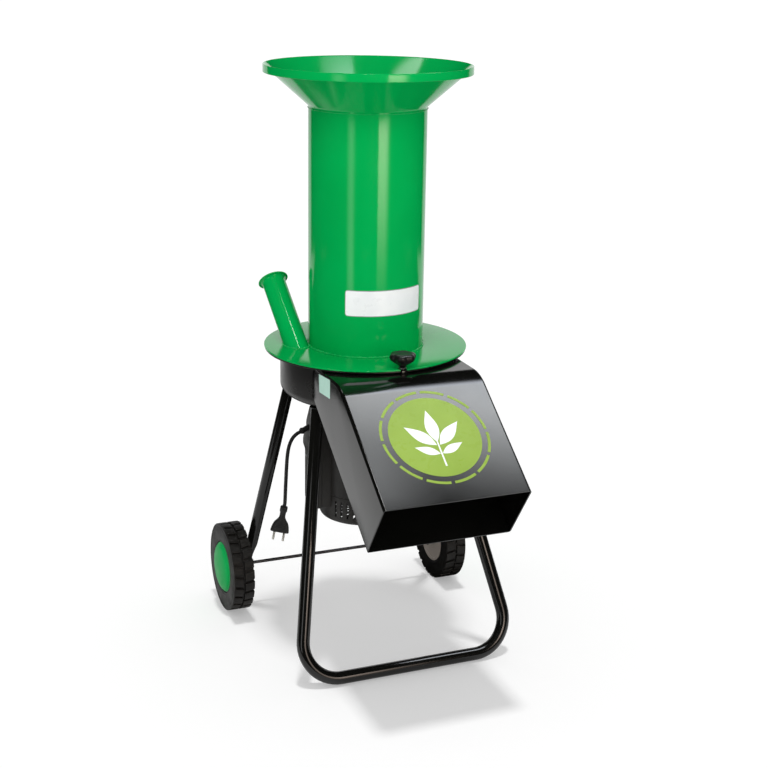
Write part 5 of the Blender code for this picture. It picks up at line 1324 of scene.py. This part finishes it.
def make_motor_frame():
    top, plate, low = BELOW_FLOOR, MOTOR_FLANGE_UNDER, BELOW_FLOOR - MOTOR_LENGTH
    out = MOTOR_FRAME_RADIUS
    profile = [
        (0.0133, plate), (0.0133, top), (MOTOR_FLANGE_RADIUS, top), (MOTOR_FLANGE_RADIUS, plate),
        (out, plate - 0.002), (out, low), (out - 0.004, low), (out - 0.004, plate - 0.002),
        (0.0323, plate - 0.002), (0.0323, plate - 0.0148), (0.0263, plate - 0.0148), (0.0263, plate),
    ]
    ease = [0.0004, 0.0004, 0.0014, 0.0014, 0.0018] + [0.0004] * 7
    piece("motor_body", revolve(eased(profile, ease)), "alloy", "chassis", "motor_frame")
    fin = ((out - 0.001, COVER_RADIUS - 0.001), (-0.0011, 0.0011), (COVER_TOP + 0.002, plate - 0.0005))
    fins = [spun(bevelled(block(*fin), 0.0005), 2 * math.pi * (k + 0.5) / 24) for k in range(24)]
    piece("motor_fins", merged(fins), "alloy", "chassis")
    bolts = []
    for k in range(4):
        bolt = hex_bolt(0.008, 0.0045, 0.0062)
        bolt.transform(Matrix.Rotation(math.pi, 4, "X"))
        bolts.append(moved(bolt, spoke(math.radians(45 + 90 * k), 0.0855, plate)))
    piece("motor_bolts", merged(bolts), "zinc", "chassis")


def box_outline(top_face, inset):
    """The lid's side view in X-Z: flat face, bulge and sloping shoulder."""
    return [
        (-BOX_FACE + inset, BOX_Z[0] + inset), (-BOX_FACE + inset, 0.358), (-0.112 + inset, 0.367),
        (-0.112 + inset, 0.382), (-0.1055 + inset, 0.397), (-0.1055 + inset, 0.413 - inset / 2),
        (-top_face, BOX_Z[1] - inset),
    ]


def rectangle(half_y, half_z, ease):
    return eased([(-half_y, -half_z), (half_y, -half_z), (half_y, half_z), (-half_y, half_z)], ease, 5)


def make_switch_box():
    parting = -BOX_PARTING
    inner_y, inner_z = ((span[0] + BOX_WALL, span[1] - BOX_WALL) for span in (BOX_Y, BOX_Z))
    body = block((parting, -COVER_RADIUS * 0.6), BOX_Y, BOX_Z)
    box = piece("box_back", bevelled(body, 0.0012), "cover", "chassis", "switch_box")
    reach, high = COVER_RADIUS + GAP, BOX_Z[1] + 0.05
    barrel = revolve(wall(0.0, reach, 0.0, high))
    carve(box, block((parting - 0.01, -0.0885), inner_y, inner_z), barrel)
    outline = [*box_outline(0.0985, 0.0), (parting - GAP, BOX_Z[1]), (parting - GAP, BOX_Z[0])]
    ease = [0.003, 0.006, 0.006, 0.006, 0.006, 0.003, 0.0015, 0.0004, 0.0004]
    shell = bevelled(prism(eased(outline, ease, 4), *BOX_Y, "Y"), 0.0018, 3, 50)
    lid = piece("box_lid", shell, "cover", "chassis", "switch_box_cover")
    hollow = box_outline(BOX_PARTING - 0.002, BOX_WALL)
    hollow += [(parting + 0.01, inner_z[1]), (parting + 0.01, inner_z[0])]
    half_y, half_z = (size / 2 + 0.0006 for size in ROCKER_SIZE)
    y, z = ROCKER.y, ROCKER.z
    window = block((-0.118, -0.088), (y - half_y, y + half_y), (z - half_z, z + half_z))
    bore = rod(CORD_EXIT - GLAND_WAY * 0.029, CORD_EXIT + GLAND_WAY * 0.01, GLAND_RADIUS + GAP, 48)
    carve(lid, prism(hollow, *inner_y, "Y"), window, bore)
    inside = rectangle(half_y, half_z, 0.0008)
    outside = rectangle(half_y + 0.0022, half_z + 0.0022, 0.003)
    drawn_in = [(a * 0.97, b * 0.975) for a, b in outside]
    seat, face, front = -0.1078, -0.1090, -0.1094
    rings = []
    for ring, x in ((inside, seat), (outside, seat), (outside, face), (drawn_in, front), (inside, front)):
        rings.append([(x, y + a, z + b) for a, b in ring])
    piece("rocker_frame", skin(rings, closed=True), "knob", "chassis")
    places = [(-0.1079, y, z) for y in (BOX_Y[0] + 0.0075, BOX_Y[1] - 0.0075) for z in (0.2645, 0.345)]
    screws = [laid(screw_head(0.0030, 0.0014), place, -ACROSS) for place in places]
    piece("lid_screws", merged(screws), "zinc", "chassis")


def make_rocker():
    """A rocker with its resting half pressed in; it turns about its middle, along Y."""
    half, width = ROCKER_SIZE[1] / 2, ROCKER_SIZE[0] / 2
    near, far = half * 0.45, half * 0.97
    outline = [
        (-0.0050, 0.0), (-0.0034, near), (-0.0012, far), (0.0012, far), (0.00425, near),
        (0.00425, -near), (0.0012, -far), (-0.0012, -far), (-0.0034, -near),
    ]
    ease = [0.002, 0.003, 0.0006, 0.0006, 0.001, 0.001, 0.0006, 0.0006, 0.003]
    parts = [bevelled(prism(eased(outline, ease), -width, width, "Y"), 0.0006, 2, 60)]
    for k in range(3):
        x, z = -0.0024 + 0.0006 * k, half * (0.62 + 0.10 * k)
        parts.append(rod((x, -0.005, z), (x, 0.005, z), 0.0004, 12))
    whole = merged(parts)
    whole.transform(Matrix.Translation(ROCKER) @ Matrix.Rotation(-ROCKER_TRAVEL / 2, 4, "Y"))
    piece("rocker", whole, "knob", "rocker", "switch_rocker")


def dress_kept():
    """Finishes for the CAD nodes that stay."""
    fours = range(1, 5)
    kept = {
        "blade": ("shear_bar", "chipping_knife_a", "chipping_knife_b", *(f"hammer_{k}" for k in fours)),
        "alloy": ("motor_lower_shield",),
        "iron": ("motor_stator",),
        "rotor": ("motor_rotor_core", "bearing_upper", "bearing_lower", "rotor_shaft", "rotor_plate", "rotor_hub"),
        "rim": ("start_capacitor", "cooling_fan"),
        "zinc": ("rotor_nut", *(f"{word}_{k}" for word in ("knife_screw", "hammer_pin") for k in fours)),
    }
    for look, nodes in kept.items():
        for node in nodes:
            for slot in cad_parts[node].material_slots:
                slot.material = material_of(look)


# ---------------------------------------------------------------- studio


def linked(name, obj, state):
    """What a lamp lights: this object alone, or all but this object."""
    receivers = bpy.data.collections.new(name)
    receivers.objects.link(obj)
    receivers.collection_objects[0].light_linking.link_state = state
    return receivers


def area_light(name, place, target, width, height, radiance, receivers):
    """A soft light of even radiance on the object; the floor has its own, from above."""
    data = bpy.data.lights.new(name, "AREA")
    data.shape = "RECTANGLE"
    data.size, data.size_y = width, height
    data.energy = radiance * math.pi * data.size * data.size_y
    light = added(name, data)
    light.location = place
    light.rotation_euler = (Vector(target) - place).to_track_quat("-Z", "Y").to_euler()
    light.visible_camera = False
    light.light_linking.receiver_collection = receivers
    return light


def seen(tree, gloss=1.0):
    """One for camera rays, and this share for rays that see the background in a gloss or through glass."""
    path = add_node(tree, "LightPath").outputs
    indirect = add_math(tree, "MAXIMUM", path["Is Glossy Ray"], path["Is Transmission Ray"])
    return add_math(tree, "MAXIMUM", path["Is Camera Ray"], add_math(tree, "MULTIPLY", indirect, gloss))


def unlit_material(name):
    """A material without its Principled shader, and its node tree."""
    made = bpy.data.materials.new(name)
    made.use_nodes = True
    made.node_tree.nodes.remove(made.node_tree.nodes["Principled BSDF"])
    return made, made.node_tree


def shown(tree, shader):
    tree.links.new(shader.outputs[0], tree.nodes["Material Output"].inputs["Surface"])


def glowing(name, height, low, high, tint=WHITE, half=0.0, soft=(0.0, 0.0), left=0.0):
    """Light that goes from low to high up a card, at least this much at its left, and fades over its soft sides."""
    made, tree = unlit_material(name)

    def faded(value, start, end, low=0.0, high=1.0):
        return add_range(tree, value, low, high, start, end, interpolation_type="SMOOTHSTEP")

    place = add_node(tree, "SeparateXYZ", {0: add_node(tree, "TexCoord").outputs["Object"]}).outputs
    level = faded(place["Y"], 0.0, height, low, high)
    if left:
        level = add_math(tree, "MAXIMUM", level, faded(place["X"], -half, 0.0, left, 0.0))
    for side, width in zip((-1, 1), soft):
        if width:
            level = add_math(tree, "MULTIPLY", level, faded(place["X"], side * half, side * (half - width)))
    shown(tree, add_node(tree, "Emission", {"Color": (*tint, 1.0), "Strength": level}))
    return made


def flat_mesh(name, low, high):
    """A rectangle in the X-Y plane between two corners."""
    mesh = bpy.data.meshes.new(name)
    corners = ((low[0], low[1], 0), (high[0], low[1], 0), (high[0], high[1], 0), (low[0], high[1], 0))
    mesh.from_pydata(corners, [], [(0, 1, 2, 3)])
    return mesh


def reflected_only(name, mesh, material):
    """A card that shows in reflections alone: it casts no light or shade of its own."""
    mesh.materials.append(material)
    obj = added(name, mesh)
    for flag in ("visible_camera", "visible_diffuse", "visible_shadow", "visible_volume_scatter"):
        setattr(obj, flag, False)
    return obj


def card(name, foot, rise, across, width, low, high, tint=WHITE, soft=(0.0, 0.0), left=0.0):
    """A lit card from the middle of its lower edge, up along rise."""
    height, up, across = rise.length, rise.normalized(), across.normalized()
    mesh = flat_mesh(name, (-width / 2, 0), (width / 2, height))
    obj = reflected_only(name, mesh, glowing(name, height, low, high, tint, width / 2, soft, left))
    turn = Matrix((across, up, across.cross(up))).transposed().to_4x4()
    obj.matrix_world = Matrix.Translation(foot) @ turn


def around(degrees, reach, height=0.0):
    """A place about the machine, turned from the camera's side."""
    turn = CAMERA_TURN + math.radians(degrees)
    return Vector((reach * math.cos(turn), AXIS.y + reach * math.sin(turn), height))


def make_room():
    """The unlit room that gloss sees: a dome open behind to the white backdrop, and dark sheets over the white
    floor, a painted dark reflection of the floor.
    """
    bm = bmesh.new()
    turns, tilts = range(-180, 180, 6), range(0, 91, 6)
    rings = []
    for tilt in tilts:
        reach, height = ROOM_RADIUS * math.cos(math.radians(tilt)), ROOM_RADIUS * math.sin(math.radians(tilt))
        rings.append([bm.verts.new(around(turn, reach, height)) for turn in turns])
    for tilt, low, high in zip(tilts, rings, rings[1:]):
        for k, turn in enumerate(turns):
            behind = turn < -138 or turn >= 138
            if not (behind and tilt < 30):
                after = (k + 1) % len(turns)
                bm.faces.new((low[k], low[after], high[after], high[k]))
    back, side = Vector((0.3776, 0.926, 0.0)), Vector((0.9277, -0.3733, 0.0))
    # Dark sheets just above the white floor, seen in gloss alone: a painted dark reflection of the floor in front of
    # the machine, at both its sides and behind it.
    far = ROOM_HALF
    for outline in (
        ((-far, -far), (far, -far), (far, -0.52), (-far, -0.52)),
        ((-far, -0.52), (-1.40, -0.52), (-1.40, 1.60), (-far, 1.60)),
        ((1.40, -0.52), (far, -0.52), (far, 1.60), (1.40, 1.60)),
        ((-0.48, 0.34), (-0.30, 0.34), (-0.30, 1.30), (-0.88, 1.30)),
        ((-0.30, 0.12), (0.62, 0.12), (0.86, 1.30), (-0.30, 1.30)),
    ):
        bm.faces.new([bm.verts.new(AXIS + side * a + back * b + UP * 0.004) for a, b in outline])
    reflected_only("room", mesh_of("room", bm, Vector()), glowing("unlit", 1.0, 0.0, 0.0))


def make_cards():
    """What the gloss shows: two tall strips beside the camera and four cards overhead."""
    for name, degrees, *look in (
        ("strip_right", 32.5, 0.84, 0.8, 8.6, (1.02, 0.84, 0.72), (0.0, 0.42)),
        ("strip_left", -30.0, 0.68, 1.9, 2.1, WHITE, (0.30, 0.30)),
    ):
        foot = around(degrees, 2.0)
        card(name, foot, UP * 1.10, UP.cross(foot - AXIS), *look)
    for name, x, y, depth, *look in (
        ("over_slope", 0.95, -0.51, 0.53, 1.30, 0.2, 10.0, (0.97, 1.0, 1.02), (0.0, 0.0), 4.5),
        ("over_slope_far", 0.95, 0.02, 0.48, 1.30, 10.0, 1.6, (0.92, 0.97, 1.08)),
        ("over_branch", -0.19, -0.62, 0.24, 0.26, 20.0, 20.0),
        ("over_funnel", -0.42, 0.50, 0.55, 0.46, 5.6, 5.6, WHITE, (0.1, 0.1)),
    ):
        card(name, Vector((x, y, CARD_HEIGHT)), Vector((0.0, depth, 0.0)), ACROSS, *look)


def make_world():
    world = bpy.data.worlds.new("studio")
    bpy.context.scene.world = world
    world.use_nodes = True
    tree = world.node_tree
    back = tree.nodes["Background"]
    tree.links.new(add_range(tree, seen(tree), WORLD_LEVEL, 1.0, 0.0, 1.0), back.inputs["Strength"])
    back.inputs["Color"].default_value = (*WHITE, 1.0)


def make_floor():
    """White paper: what it lacks in light it makes up by a glow that only camera and gloss see."""
    floor = added("floor", flat_mesh("floor", (-FLOOR_HALF, -FLOOR_HALF), (FLOOR_HALF, FLOOR_HALF)))
    paper, tree = unlit_material("paper")
    diffuse = add_node(tree, "BsdfDiffuse", {"Color": (FLOOR_COLOUR,) * 3 + (1.0,)})
    strength = add_math(tree, "MULTIPLY", seen(tree, FLOOR_GLOSS), FLOOR_GLOW)
    glow = add_node(tree, "Emission", {"Strength": strength})
    shown(tree, add_node(tree, "AddShader", {0: diffuse.outputs[0], 1: glow.outputs[0]}))
    floor.data.materials.append(paper)
    return floor


def make_lamps(floor):
    """The sun lights the floor alone; the soft key and fill light all but the floor."""
    sun = bpy.data.lights.new("overhead", "SUN")
    sun.energy = SUN_LEVEL * math.pi
    sun.angle = math.radians(6)
    lamp = added("overhead", sun)
    lamp.rotation_euler = (-UP).to_track_quat("-Z", "Y").to_euler()
    lamp.visible_glossy = False
    lamp.light_linking.receiver_collection = linked("on_floor", floor, "INCLUDE")
    off_floor = linked("off_floor", floor, "EXCLUDE")
    area_light("key", around(-4.0, 1.9, 2.75), AXIS + UP * 0.75, 2.2, 1.2, KEY_RADIANCE, off_floor)
    fill = area_light("fill", around(24.0, 2.4, 1.0), AXIS + UP * 0.65, 2.0, 1.0, FILL_RADIANCE, off_floor)
    fill.visible_glossy = False


# ---------------------------------------------------------------- scene

for make in (
    make_camera, make_cord, make_gland, make_disc, make_column, make_funnel, make_branch_tube,
    make_plate, make_pan, make_chute, make_emblem, make_side_label, make_clamp, make_hinge, make_front_leg,
):
    make()
for word, side in SIDES:
    make_rear_leg(word, side)
    make_wheel(word, side)
for make in (make_axle, make_motor_cover, make_motor_frame, make_switch_box, make_rocker, dress_kept, make_world):
    make()
make_lamps(make_floor())
make_room()
make_cards()
bpy.context.scene.view_settings.view_transform = "Standard"
